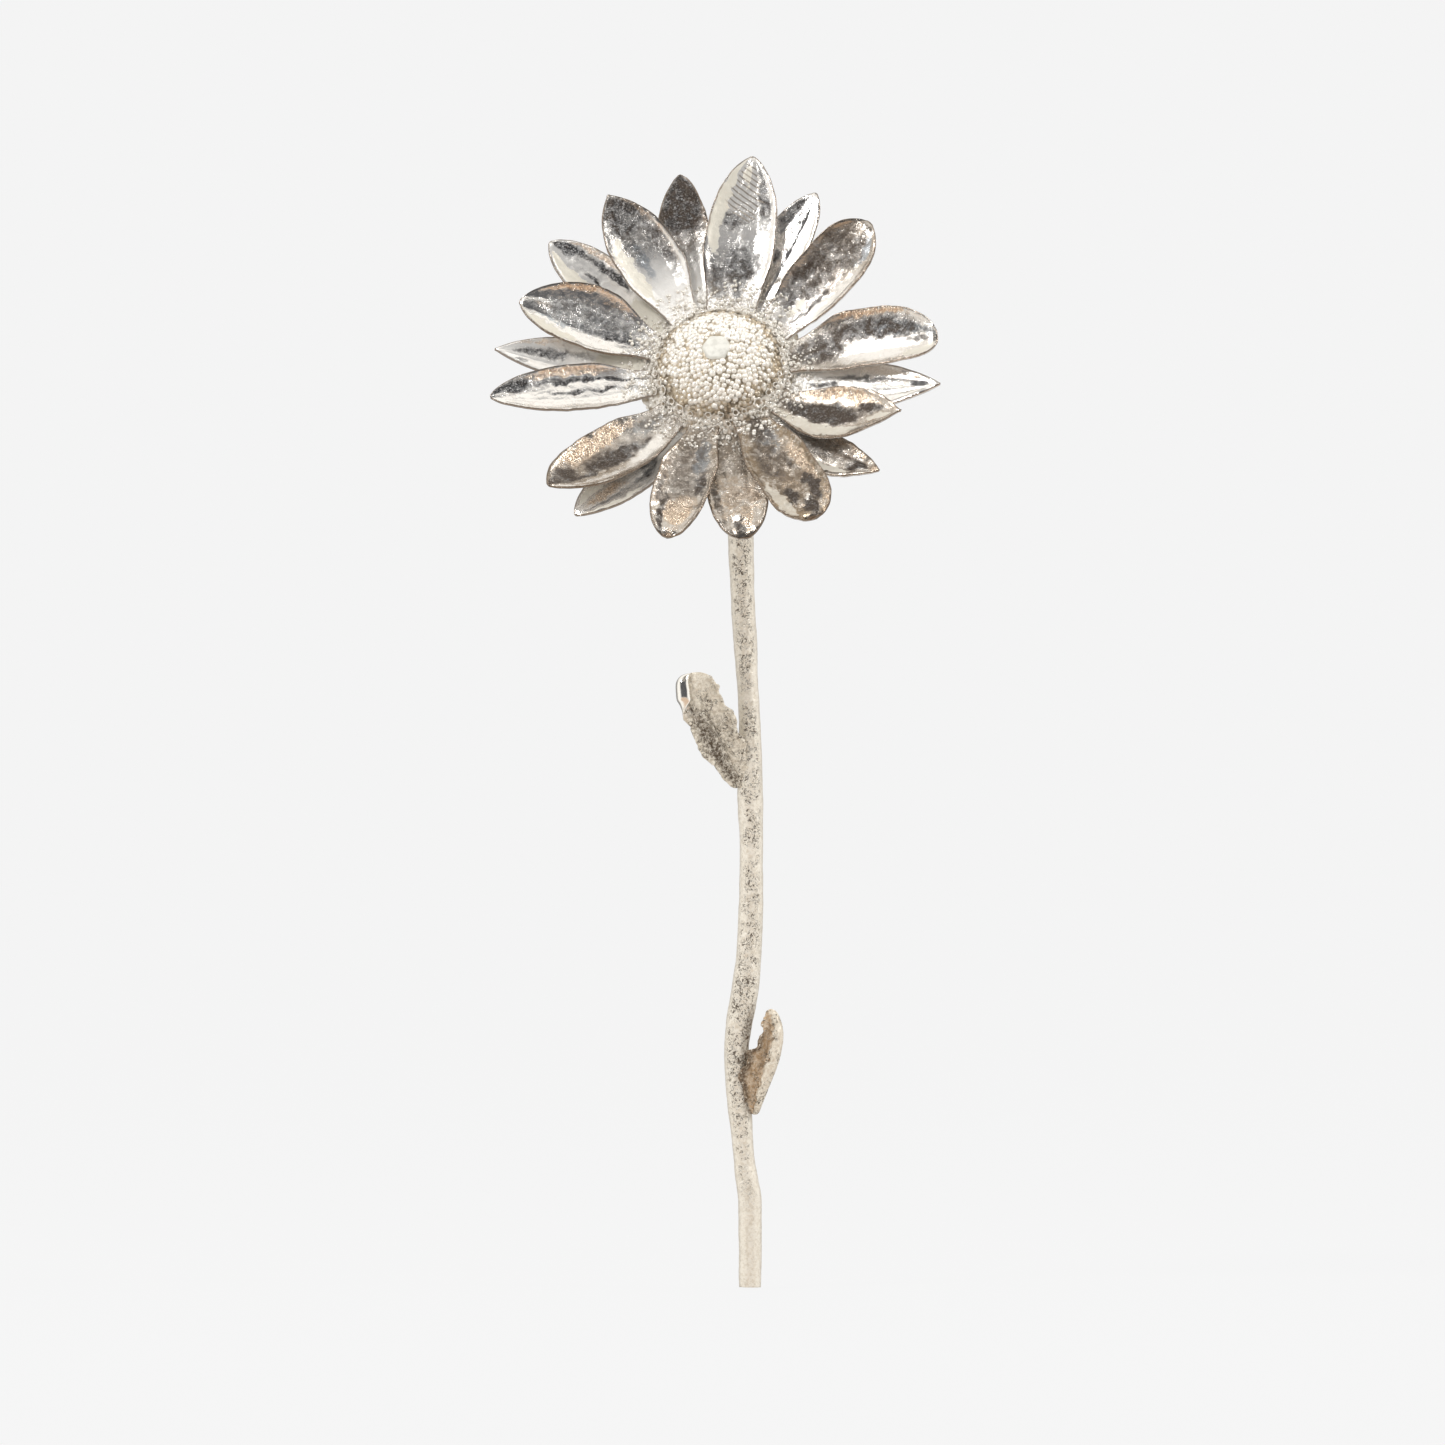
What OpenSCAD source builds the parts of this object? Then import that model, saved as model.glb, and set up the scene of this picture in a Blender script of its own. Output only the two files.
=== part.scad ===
// A life-size cast daisy: flower head, stem and two stem leaves.
// Millimetres. Z runs up the stem from its cut foot, and the head leans towards -Y.

/* [Head] */
// Height of the head's centre above the foot
head_z = 91.9; // [80:0.1:110]
// How far the head hangs out in front of the stem
head_out = 8.7; // [6:0.1:12]
// How far the head sits to the left of the foot
head_left = 3; // [0:0.1:6]
// Tilt of the head's axis away from straight up
head_tilt = 59; // [30:1:80]
// Turn of the head's axis to the left
head_turn = 6; // [0:1:20]

/* [Petals] */
// Radius where the petal claws begin, round the hub ring
claw_r = 2.8; // [2.2:0.1:3.5]
// Half-width of a claw at its inner end
claw_half = 0.55; // [0.4:0.05:0.7]
// Radius up to which the claws lie flat under the disc
flat_r = 6.5; // [6:0.1:8]
// Rise of the upper petals, measured from the head's centre to a tip
upper_lift = 8.5; // [4:0.5:15]
// Rise of the lower petals, measured the same way
lower_lift = 4.4; // [0:0.5:10]
// Metal thickness along a petal's middle
petal_mid = 0.46; // [0.3:0.02:0.8]
// Metal thickness at a petal's rim
petal_rim = 0.34; // [0.2:0.02:0.6]
// Height of an upper petal's raised rims over its middle
upper_cup = 0.8; // [0:0.05:1.5]
// Height of a lower petal's raised rims over its middle
lower_cup = 0.4; // [0:0.05:1]
// Depth of the two lengthwise grooves
groove = 0.1; // [0:0.02:0.2]

/* [Disc] */
// Radius of the dome to the outside of its florets
disc_r = 6.8; // [6:0.1:8]
// Height of the dome above the petals
disc_h = 4; // [2.5:0.1:5]
// Radius of one bead floret
bead_r = 0.36; // [0.25:0.01:0.5]
// Number of bead florets
bead_count = 236; // [120:2:300]
// Radius of the smooth spot at the apex
eye_r = 1.05; // [0.6:0.05:1.5]
// Number of open florets round the dome's foot
open_count = 36; // [24:1:44]

/* [Cup and bracts] */
// Depth of the cup behind the petals
cup_depth = 3.95; // [3:0.05:5]
// Radius of the cup's flat back, where the stem meets it
cup_back_r = 1.75; // [1.5:0.05:2.5]
// Number of bracts in each row
bract_count = 13; // [9:1:17]

/* [Stem] */
// Radius of the round foot that goes into a holder
foot_r = 1.2; // [0.8:0.05:2]
// Length of the round foot
foot_h = 9; // [6:0.5:14]
// Radius of the tenon that goes into the cup
tenon_r = 0.9; // [0.6:0.05:1.2]
// Length of the tenon
tenon_h = 2; // [1:0.1:2.5]

/* [Leaves] */
// Metal thickness of the stem leaves
leaf_thick = 0.9; // [0.5:0.05:1.5]
// Height of the teeth along a leaf's edge
leaf_tooth = 0.08; // [0:0.02:0.3]

/* [Hidden] */
$fn = 48;
gap = 0.05;

silver = [0.83, 0.82, 0.79];
warm_silver = [0.86, 0.82, 0.74];
frosted_silver = [0.88, 0.87, 0.83];
dark_silver = [0.62, 0.6, 0.56];

// The dome is part of one ball, and its layers share the ball's centre.
ball_r = (pow(disc_r, 2) + pow(disc_h, 2)) / (2 * disc_h);
ball_z = disc_h - ball_r + 0.1;
dome_base = 0.12;
cap_base = 0.6;
skin_r = ball_r - bead_r;
core_r = skin_r - bead_r - 0.12;
peg_r = 1.5;
peg_end = -2.5;
cup_top = -1.2;
cup_back = cup_top - cup_depth;
web_z = -3;

// Heights of the two layers of claws under the disc, at mid-thickness.
upper_z = -0.2;
lower_z = -0.86;

// One row for each petal, clockwise from the top: compass angle of the tip, distance of the tip,
// full width, half-width where it leaves the disc, sideways bow, where it starts to close (a
// fraction of the length), how blunt it ends (-1 drawn out, 0 pointed, 1 round), sideways lean of
// the tip, downward curl of the tip, twist, and its layer (0 upper, 1 lower).
AZ = 0;
TIP = 1;
WIDE = 2;
NECK = 3;
BOW = 4;
CLOSE = 5;
BLUNT = 6;
LEAN = 7;
CURL = 8;
TWIST = 9;
LAYER = 10;
petals = [
    [84, 23, 7, 2.5, 0, 0.5, 0.5, 0, 0, 2, 0],
    [66, 21.5, 5, 1.5, 0.5, 0.55, 0.5, 0, 0, -3, 1],
    [46, 21, 6.5, 2, -0.5, 0.7, 0.5, 0, 0, 0, 0],
    [5, 22, 6.5, 1.75, 1, 0.65, 1, -0.5, 0, 2, 0],
    [-8, 22.5, 6, 1.5, -0.5, 0.4, 0, 0, 0, 0, 1],
    [-21, 20, 6.5, 1.5, -2, 0.6, -0.5, 0, -0.3, -3, 0],
    [-39, 21.5, 5, 1.5, -1.5, 0.55, 0, 0, -0.5, 0, 1],
    [-61, 22.5, 6, 1.75, 0, 0.75, 1, 0, 0.2, 3, 0],
    [-80, 21, 6, 1.5, 0, 0.6, 1, 0, 0.6, 0, 1],
    [-100, 22, 5.5, 1.5, 0, 0.6, 1, 0, 0.5, -2, 0],
    [-126, 22.5, 5, 1.5, 1, 0.55, 0.5, 0, 0.2, 0, 1],
    [-135, 22.5, 6.5, 1.75, 1, 0.6, 0.5, 0, 0, 4, 0],
    [-166, 23, 5.5, 1.5, 0, 0.5, 0.5, 0, 0, 2, 0],
    [177, 22.5, 5, 1.5, 0, 0.45, 0, 0, 0, -2, 1],
    [162, 21, 7, 1.5, -0.5, 0.55, 0.5, 0.5, 0, -2, 0],
    [142, 22.5, 5.5, 1.5, 0, 0.6, 0.5, 0, 0, 0, 1],
    [123, 22, 6.5, 1.5, 0, 0.6, 0, 0, 0, 3, 0],
    [103, 22.5, 5.5, 1.5, 1, 0.5, 0.5, 0, 0, 0, 1]
];
petal_steps = [
    0, 0.11, 0.21, 0.29, 0.38, 0.48, 0.58, 0.68, 0.77, 0.84, 0.89, 0.93, 0.96, 0.98, 0.992, 1
];

// The stem's line and thickness: height, sideways drift, radius.
stem_line = [
    [8.4, 0, 1.0],
    [9.4, -0.1, 1.19],
    [11, -0.35, 1.15],
    [13, -0.6, 1.05],
    [16, -0.85, 1.14],
    [19, -1.15, 1.2],
    [23, -1.35, 1.25],
    [26, -1.15, 1.32],
    [29.5, -0.55, 1.38],
    [33, -0.15, 1.28],
    [38, 0.1, 1.24],
    [44, 0.15, 1.18],
    [48, 0.05, 1.3],
    [51, 0, 1.28],
    [55, 0, 1.14],
    [60, -0.2, 1.08],
    [65, -0.5, 1.2],
    [70, -0.75, 1.22],
    [75, -0.9, 1.32],
    [78, -0.95, 1.3]
];
stem_sides = 18;
bend_pull = 4.6;

function ease(t) = let (c = min(1, max(0, t))) c * c * (3 - 2 * c);
function mix(a, b, t) = a + (b - a) * t;
function unit(a) = a / norm(a);

// The way the head faces, and where its centre stands, in the frame of the whole piece.
head_n = [
    -sin(head_tilt) * sin(head_turn),
    -sin(head_tilt) * cos(head_turn),
    cos(head_tilt)
];
head_centre = [-head_left, -head_out, head_z];

module at_head() {
    translate(head_centre)
        rotate([head_tilt, 0, -head_turn])
            children();
}

// A closed plate between two grids of points. A wrapped plate joins its last row to its first.
module plate(top, under, wrapped = false) {
    rows = len(top);
    m = len(top[0]) - 1;
    n = wrapped ? rows : rows - 1;
    s = rows * (m + 1);
    function k(i, j) = (i % rows) * (m + 1) + j;
    upper_faces = [
        for (i = [0 : n - 1], j = [0 : m - 1])
            each [
                [k(i, j), k(i, j + 1), k(i + 1, j)],
                [k(i + 1, j), k(i, j + 1), k(i + 1, j + 1)]
            ]
    ];
    under_faces = [for (f = upper_faces) [f[2] + s, f[1] + s, f[0] + s]];
    near_faces = [
        for (i = [0 : n - 1])
            each [
                [k(i, 0), k(i + 1, 0), s + k(i + 1, 0)],
                [k(i, 0), s + k(i + 1, 0), s + k(i, 0)]
            ]
    ];
    far_faces = [
        for (i = [0 : n - 1])
            each [
                [k(i + 1, m), k(i, m), s + k(i, m)],
                [k(i + 1, m), s + k(i, m), s + k(i + 1, m)]
            ]
    ];
    start_faces = [
        for (j = [0 : m - 1])
            each [
                [k(0, j + 1), k(0, j), s + k(0, j)],
                [k(0, j + 1), s + k(0, j), s + k(0, j + 1)]
            ]
    ];
    end_faces = [
        for (j = [0 : m - 1])
            each [
                [k(n, j), k(n, j + 1), s + k(n, j + 1)],
                [k(n, j), s + k(n, j + 1), s + k(n, j)]
            ]
    ];
    sides = concat(near_faces, far_faces, wrapped ? [] : start_faces, wrapped ? [] : end_faces);
    polyhedron(
        points = concat([for (r = top) each r], [for (r = under) each r]),
        faces = concat(upper_faces, under_faces, sides)
    );
}

// A petal's half-width at a fraction u of its length, and its middle line's height.
function petal_x(p, u) = claw_r + (p[TIP] - claw_r) * u;
function petal_closing(p, u) = max(0, u - p[CLOSE]) / (1 - p[CLOSE]);
function petal_close(p, u) = pow(max(0, 1 - pow(petal_closing(p, u), 2.6)), 1 - p[BLUNT] / 2);
function petal_open(p, x) =
    x < 7
    ? mix(claw_half, p[NECK], (x - claw_r) / (7 - claw_r))
    : mix(p[NECK], p[WIDE] / 2, ease((x - 7) / 6));
function petal_half(p, u) = max(0.16, petal_open(p, petal_x(p, u)) * petal_close(p, u));
function petal_lean(p, u) = p[LEAN] * pow(petal_closing(p, u), 2);
function petal_foot_z(p) = p[LAYER] == 0 ? upper_z : lower_z;
function petal_tip_z(p) = p[TIP] * tan(p[LAYER] == 0 ? upper_lift : lower_lift);
function petal_rise(p, u) =
    pow(max(0, petal_x(p, u) - flat_r) / (p[TIP] - flat_r), 1.3)
    * (petal_tip_z(p) - petal_foot_z(p))
    - p[CURL] * pow(max(0, u - 0.78) / 0.22, 2);
function groove_at(v) = exp(-pow((abs(v) - 0.42) / 0.14, 2));

function petal_point(p, u, v, side) =
    let (
        half = petal_half(p, u),
        free = ease((petal_x(p, u) - 7) / 5),
        rim = (p[LAYER] == 0 ? upper_cup : lower_cup) * v * v,
        cup = rim * min(1, 2 * half / p[WIDE]) * free,
        ripple = side > 0 ? groove * groove_at(v) * free : 0,
        thick = mix(petal_mid, petal_rim, v * v)
    )
    [
        petal_x(p, u),
        p[BOW] * sin(180 * u) + v * half + petal_lean(p, u),
        petal_foot_z(p) + petal_rise(p, u) + cup - ripple
            + v * half * tan(p[TWIST]) * free + side * thick / 2
    ];

module petal(number) {
    p = petals[number - 1];
    top = [for (u = petal_steps) [for (v = [-1 : 0.25 : 1]) petal_point(p, u, v, 1)]];
    under = [for (u = petal_steps) [for (v = [-1 : 0.25 : 1]) petal_point(p, u, v, -1)]];
    color(p[LAYER] == 0 ? silver : dark_silver)
        at_head()
            rotate([0, 0, p[AZ]])
                plate(top, under);
}

// The part of a ball of this radius that stands above a height over the petals.
module dome(radius, base) {
    intersection() {
        translate([0, 0, ball_z])
            sphere(r = radius);
        translate([0, 0, base])
            cylinder(r = disc_r + 1, h = disc_h + 1);
    }
}

module disc_core() {
    color(dark_silver)
        at_head() {
            dome(core_r, dome_base);
            translate([0, 0, peg_end])
                cylinder(r = peg_r, h = dome_base - peg_end + 1);
        }
}

golden_turn = 137.508;
eye_angle = asin((eye_r + bead_r) / skin_r);
last_angle = acos((cap_base + bead_r - ball_z) / skin_r);

module floret_cap() {
    near = 1 - cos(eye_angle);
    far = 1 - cos(last_angle);
    color(frosted_silver)
        at_head() {
            difference() {
                dome(skin_r, cap_base);
                translate([0, 0, ball_z])
                    sphere(r = core_r + gap);
                cylinder(r = eye_r, h = disc_h + 2);
            }
            for (i = [0 : bead_count - 1])
                translate([0, 0, ball_z])
                    rotate([0, acos(1 - mix(near, far, i / (bead_count - 1))), golden_turn * i])
                        translate([0, 0, skin_r])
                            sphere(r = bead_r);
        }
}

module floret_eye() {
    foot = ball_z + core_r + gap;
    top = disc_h + 0.1;
    color(warm_silver)
        at_head()
            translate([0, 0, foot])
                rotate_extrude()
                    polygon([
                        [0, 0],
                        [eye_r - gap, -0.06],
                        [eye_r - gap, top - foot - 0.22],
                        [eye_r - 0.25, top - foot - 0.06],
                        [0, top - foot]
                    ]);
}

module open_florets() {
    inner = disc_r - 0.9;
    outer = disc_r + 0.02;
    color(frosted_silver)
        at_head() {
            translate([0, 0, dome_base])
                difference() {
                    cylinder(r = outer, h = 0.4);
                    translate([0, 0, -1])
                        cylinder(r = inner, h = 3);
                }
            for (i = [0 : open_count - 1])
                rotate([0, 0, i * 360 / open_count])
                    translate([disc_r - 0.36, 0, dome_base + 0.25])
                        rotate([0, 22, 0])
                            difference() {
                                cylinder(r1 = 0.24, r2 = 0.36, h = 0.7);
                                translate([0, 0, 0.45])
                                    cylinder(r = 0.2, h = 1);
                            }
        }
}

module hub_ring() {
    color(dark_silver)
        at_head()
            translate([0, 0, cup_top + gap])
                difference() {
                    cylinder(r = claw_r - gap, h = dome_base - cup_top - 2 * gap);
                    translate([0, 0, -1])
                        cylinder(r = peg_r + gap, h = 4);
                }
}

// The cup's back is an arc, and the bracts follow it at set distances outside it.
function cup_arc(t, off) = [
    cup_back_r + (cup_depth + off) * sin(t),
    cup_top - (cup_depth + off) * cos(t)
];

module cup() {
    color(dark_silver)
        at_head()
            rotate_extrude()
                polygon(concat(
                    [[tenon_r + gap, cup_back]],
                    [for (t = [0 : 9 : 90]) cup_arc(t, 0)],
                    [
                        [peg_r + gap, cup_top],
                        [peg_r + gap, peg_end - gap],
                        [0, peg_end - gap],
                        [0, web_z],
                        [tenon_r + gap, web_z]
                    ]
                ));
}

// A row of bracts joined at the foot: each lobe has a raised midrib and a rounded tip.
module bract_row(first, last, off, thick, turn) {
    columns = bract_count * 8;
    steps = 6;
    function lobe(i) = abs(2 * ((i % 8) / 8) - 1);
    function reach(i) = last - 24 * pow(lobe(i), 2.4);
    function point(i, j, lift) =
        let (
            t = mix(first, reach(i), j / steps),
            a = cup_arc(t, off + lift * (thick + 0.14 * (1 - lobe(i)))),
            turned = turn + i * 360 / columns
        )
        [a[0] * cos(turned), a[0] * sin(turned), a[1]];
    outside = [for (i = [0 : columns - 1]) [for (j = [0 : steps]) point(i, steps - j, 1)]];
    inside = [for (i = [0 : columns - 1]) [for (j = [0 : steps]) point(i, steps - j, 0)]];
    plate(inside, outside, true);
}

module bracts_inner() {
    color(silver)
        at_head()
            bract_row(24, 87, 0.07, 0.26, 0);
}

module bracts_outer() {
    color(silver)
        at_head()
            bract_row(12, 62, 0.54, 0.28, 180 / bract_count);
}

// A smooth curve through a table's rows, at position t counted in rows.
function along(table, t) =
    let (
        last = len(table) - 1,
        i = min(last - 1, floor(t)),
        f = t - i,
        a = table[max(0, i - 1)],
        b = table[i],
        c = table[i + 1],
        d = table[min(last, i + 2)]
    )
    0.5 * (2 * b + (c - a) * f + (2 * a - 5 * b + 4 * c - d) * pow(f, 2)
        + (3 * b - a - 3 * c + d) * pow(f, 3));

// A tube through a list of [centre, radius], with its rings square to its line.
module tube(line) {
    last = len(line) - 1;
    function heading(i) = unit(line[min(last, i + 1)][0] - line[max(0, i - 1)][0]);
    rings = [
        for (i = [0 : last])
            let (
                h = heading(i),
                side = unit([1, 0, 0] - h * h[0]),
                front = cross(h, side)
            )
            [
                for (j = [0 : stem_sides - 1])
                    let (a = 360 * j / stem_sides)
                    line[i][0] + line[i][1] * (cos(a) * side + sin(a) * front)
            ]
    ];
    walls = [
        for (i = [0 : last - 1], j = [0 : stem_sides - 1])
            let (
                a = i * stem_sides + j,
                b = i * stem_sides + (j + 1) % stem_sides
            )
            each [[a, a + stem_sides, b], [b, a + stem_sides, b + stem_sides]]
    ];
    bottom = [for (j = [0 : stem_sides - 1]) j];
    top = [for (j = [stem_sides - 1 : -1 : 0]) last * stem_sides + j];
    polyhedron(points = [for (r = rings) each r], faces = concat(walls, [bottom, top]));
}

function bezier(a, b, c, d, t) =
    pow(1 - t, 3) * a + 3 * pow(1 - t, 2) * t * b + 3 * (1 - t) * pow(t, 2) * c + pow(t, 3) * d;

module stem() {
    neck = head_centre + head_n * (cup_back - 3 * gap);
    last = stem_line[len(stem_line) - 1];
    start = [last[1], 0, last[0]];
    shaft = [
        for (t = [0 : 0.5 : len(stem_line) - 1])
            let (p = along(stem_line, t))
            [[p[1], 0, p[0]], p[2]]
    ];
    bend = [
        for (t = [0.1 : 0.1 : 1.01])
            [
                bezier(start, start + [0, 0, bend_pull], neck - head_n * bend_pull, neck, t),
                mix(last[2], cup_back_r - 0.2, t)
            ]
    ];
    color(frosted_silver) {
        cylinder(r1 = foot_r - 0.25, r2 = foot_r, h = 0.3);
        translate([0, 0, 0.3])
            cylinder(r = foot_r, h = foot_h - 0.3);
        tube(concat(shaft, bend));
        translate(neck)
            rotate([head_tilt, 0, -head_turn])
                translate([0, 0, -1])
                    cylinder(r = tenon_r, h = tenon_h + 1);
    }
}

// A stem leaf: a thick blade along a curved midrib. Each row is a point of the midrib, the
// half-width there, how deep the blade is folded, and how far its left and right edges turn.
module leaf(rows, face, teeth) {
    steps = 26;
    span = len(rows) - 1;
    function spine(t) = let (r = along(rows, t)) [r[0], r[1], r[2]];
    function row(i, side) =
        let (
            t = span * i / steps,
            r = along(rows, t),
            ahead = unit(spine(min(span, t + 0.05)) - spine(max(0, t - 0.05))),
            across = unit(cross(ahead, face)),
            out = cross(across, ahead)
        )
        [
            for (v = [-1 : 0.25 : 1])
                let (
                    tooth = 1 + leaf_tooth * sin(360 * teeth * i / steps + 90 * v) * pow(v, 4),
                    fold = r[4] * pow(abs(v), 1.5) + r[5] * v * v * v,
                    thick = leaf_thick * mix(1, 0.45, v * v)
                )
                [r[0], r[1], r[2]] + across * v * r[3] * tooth
                    + out * (fold + side * thick / 2)
        ];
    plate([for (i = [0 : steps]) row(i, 1)], [for (i = [0 : steps]) row(i, -1)]);
}

upper_leaf_rows = [
    [-0.7, -0.5, 49.6, 0.9, 0.1, 0],
    [-2.3, -0.9, 53, 1.65, 0.5, 0],
    [-3.7, -1.1, 56, 2, 0.6, 0.1],
    [-5, -1.2, 58.9, 2.1, 0.4, 0.2],
    [-5.7, -1.2, 60.6, 1.65, 0.2, 0.3],
    [-5.9, -1.1, 61.4, 0.7, 0, 0]
];

lower_leaf_rows = [
    [0.35, -0.4, 17.3, 0.4, 0.2, 0],
    [0.85, -0.7, 19.8, 1, 0.8, 0],
    [1.75, -0.7, 22.8, 1.35, 1.1, 0.1],
    [2.35, -0.6, 25.2, 1.15, 0.9, 0.2],
    [2.2, -0.5, 27, 0.8, 0.5, 0.2],
    [1.85, -0.5, 27.8, 0.3, 0.1, 0]
];

module leaf_upper() {
    color(silver)
        difference() {
            leaf(upper_leaf_rows, [0, -1, 0], 7);
            translate([0, 0, 47])
                cylinder(r = 1.35, h = 8);
            translate([0, 0, 54.9])
                cylinder(r = 1.2, h = 4);
        }
}

module leaf_lower() {
    color(silver)
        difference() {
            leaf(lower_leaf_rows, [0, -1, 0], 6);
            translate([-0.62, 0, 14])
                rotate([0, -5, 0])
                    cylinder(r = 1.3, h = 12);
        }
}

petal(1);  // petal_01
petal(2);  // petal_02
petal(3);  // petal_03
petal(4);  // petal_04
petal(5);  // petal_05
petal(6);  // petal_06
petal(7);  // petal_07
petal(8);  // petal_08
petal(9);  // petal_09
petal(10);  // petal_10
petal(11);  // petal_11
petal(12);  // petal_12
petal(13);  // petal_13
petal(14);  // petal_14
petal(15);  // petal_15
petal(16);  // petal_16
petal(17);  // petal_17
petal(18);  // petal_18
disc_core();
floret_cap();
floret_eye();
open_florets();
hub_ring();
cup();
bracts_inner();
bracts_outer();
stem();
leaf_upper();
leaf_lower();
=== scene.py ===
"""A cast silver daisy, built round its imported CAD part.

Shapes are worked out in millimetres and turned into metres as each mesh is made.
"""
import math
import random
from collections import namedtuple

import bpy
from mathutils import Euler, Matrix, Vector, noise


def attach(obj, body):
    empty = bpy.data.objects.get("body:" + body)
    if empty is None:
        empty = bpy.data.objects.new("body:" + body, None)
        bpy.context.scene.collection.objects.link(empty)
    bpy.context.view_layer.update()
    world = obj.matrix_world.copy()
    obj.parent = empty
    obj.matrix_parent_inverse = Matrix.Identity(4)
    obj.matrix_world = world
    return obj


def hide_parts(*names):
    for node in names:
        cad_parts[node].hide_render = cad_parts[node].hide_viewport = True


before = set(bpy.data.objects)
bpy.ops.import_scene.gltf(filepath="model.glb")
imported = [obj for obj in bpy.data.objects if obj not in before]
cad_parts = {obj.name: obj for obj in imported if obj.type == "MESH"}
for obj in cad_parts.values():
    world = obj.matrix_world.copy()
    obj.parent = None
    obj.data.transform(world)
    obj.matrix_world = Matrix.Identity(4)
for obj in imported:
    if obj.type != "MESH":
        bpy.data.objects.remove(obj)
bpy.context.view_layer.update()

MM = 0.001
BODY = "root"
scene = bpy.context.scene

# The head's place and tilt, the same as the CAD's. In the head's own frame, z is its axis and the
# petals' feet lie near z = 0.
HEAD_CENTRE = Vector((-3.0, -8.7, 91.9))
HEAD_TURN = Euler((math.radians(59), 0, math.radians(-6)), "XYZ")
HEAD = Matrix.Translation(HEAD_CENTRE) @ HEAD_TURN.to_matrix().to_4x4()

# Sizes that the CAD has too, in millimetres: the petals' claws, the radius up to which they lie
# flat, the dome and the ball it is part of, and the cup.
CLAW_R = 2.8
CLAW_HALF = 0.55
CLAW_END = 7
FLAT_R = 6.5
DISC_R = 6.8
DISC_H = 4.0
BALL_R = (DISC_R**2 + DISC_H**2) / (2 * DISC_H)
BALL_Z = DISC_H - BALL_R + 0.1
CUP_TOP = -1.2
CUP_DEPTH = 3.95
CUP_BACK_R = 1.75


def clamp(t, low=0.0, high=1.0):
    return max(low, min(high, t))


def ease(t):
    t = clamp(t)
    return t * t * (3 - 2 * t)


def mix(a, b, t):
    return a + (b - a) * t


def bell(x, middle, width):
    """A smooth bump, 1 at the middle and near 0 two widths away."""
    return math.exp(-(((x - middle) / width) ** 2))


def wobble(x, y, z, scale, seed=0.0):
    """Smooth noise from -1 to 1 with features about scale millimetres across."""
    return noise.noise(Vector((x / scale + seed, y / scale - seed, z / scale + 2 * seed)))


# ---------------------------------------------------------------- meshes


def new_object(name, verts, faces, material, layers=None, uvs=None):
    """A smooth mesh object from vertices in millimetres, with float layers by vertex."""
    mesh = bpy.data.meshes.new(name)
    mesh.from_pydata([tuple(c * MM for c in v) for v in verts], [], faces)
    mesh.validate()
    mesh.update()
    for key, values in (layers or {}).items():
        layer = mesh.attributes.new(key, "FLOAT", "POINT")
        layer.data.foreach_set("value", values)
    if uvs:
        layer = mesh.uv_layers.new(name="surface")
        index = [0] * len(mesh.loops)
        mesh.loops.foreach_get("vertex_index", index)
        layer.data.foreach_set("uv", [c for i in index for c in uvs[i]])
    mesh.polygons.foreach_set("use_smooth", [True] * len(mesh.polygons))
    mesh.materials.append(material)
    obj = bpy.data.objects.new(name, mesh)
    scene.collection.objects.link(obj)
    return obj


def place(obj, slot, *nodes):
    """Puts a finished piece on the body in place of CAD nodes; the material slot it is given is not used.
    """
    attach(obj, BODY)
    if nodes:
        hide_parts(*nodes)


def loop_faces(rings, around, closed_ends=True):
    """Faces of a tube whose rings have the same number of points."""
    faces = []
    for i in range(rings - 1):
        for j in range(around):
            a, b = i * around + j, i * around + (j + 1) % around
            faces.append((a, b, b + around, a + around))
    if closed_ends:
        faces.append(tuple(reversed(range(around))))
        faces.append(tuple((rings - 1) * around + j for j in range(around)))
    return faces


def skin_faces(rings, around):
    """Faces of an open skin of rings, seen from outside."""
    faces = []
    for i in range(rings):
        for j in range(around):
            a, b = i * around + j, i * around + (j + 1) % around
            faces.append((a, a + around, b + around, b))
    return faces


# A blade's cross-section runs once round its edge: over the face, round one rim, back under.
FACE_STEPS = 48
BACK_STEPS = 18
RIM_STEPS = 4


def crowded(w, crowd):
    """An even run from -1 to 1, crowded towards its ends."""
    return mix(w, math.sin(w * math.pi / 2), crowd)


def section_marks():
    """(v across, side from 1 face to -1 back, rim weight) for each point round a blade."""
    marks = []
    for j in range(FACE_STEPS + 1):
        marks.append((crowded(-1 + 2 * j / FACE_STEPS, 0.55), 1.0, 0.0))
    for j in range(1, RIM_STEPS):
        angle = math.pi * j / RIM_STEPS
        marks.append((1.0, math.cos(angle), math.sin(angle)))
    for j in range(BACK_STEPS + 1):
        marks.append((1 - 2 * j / BACK_STEPS, -1.0, 0.0))
    for j in range(1, RIM_STEPS):
        angle = math.pi * j / RIM_STEPS
        marks.append((-1.0, -math.cos(angle), math.sin(angle)))
    return marks


MARKS = section_marks()

# ---------------------------------------------------------------- petals

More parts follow.
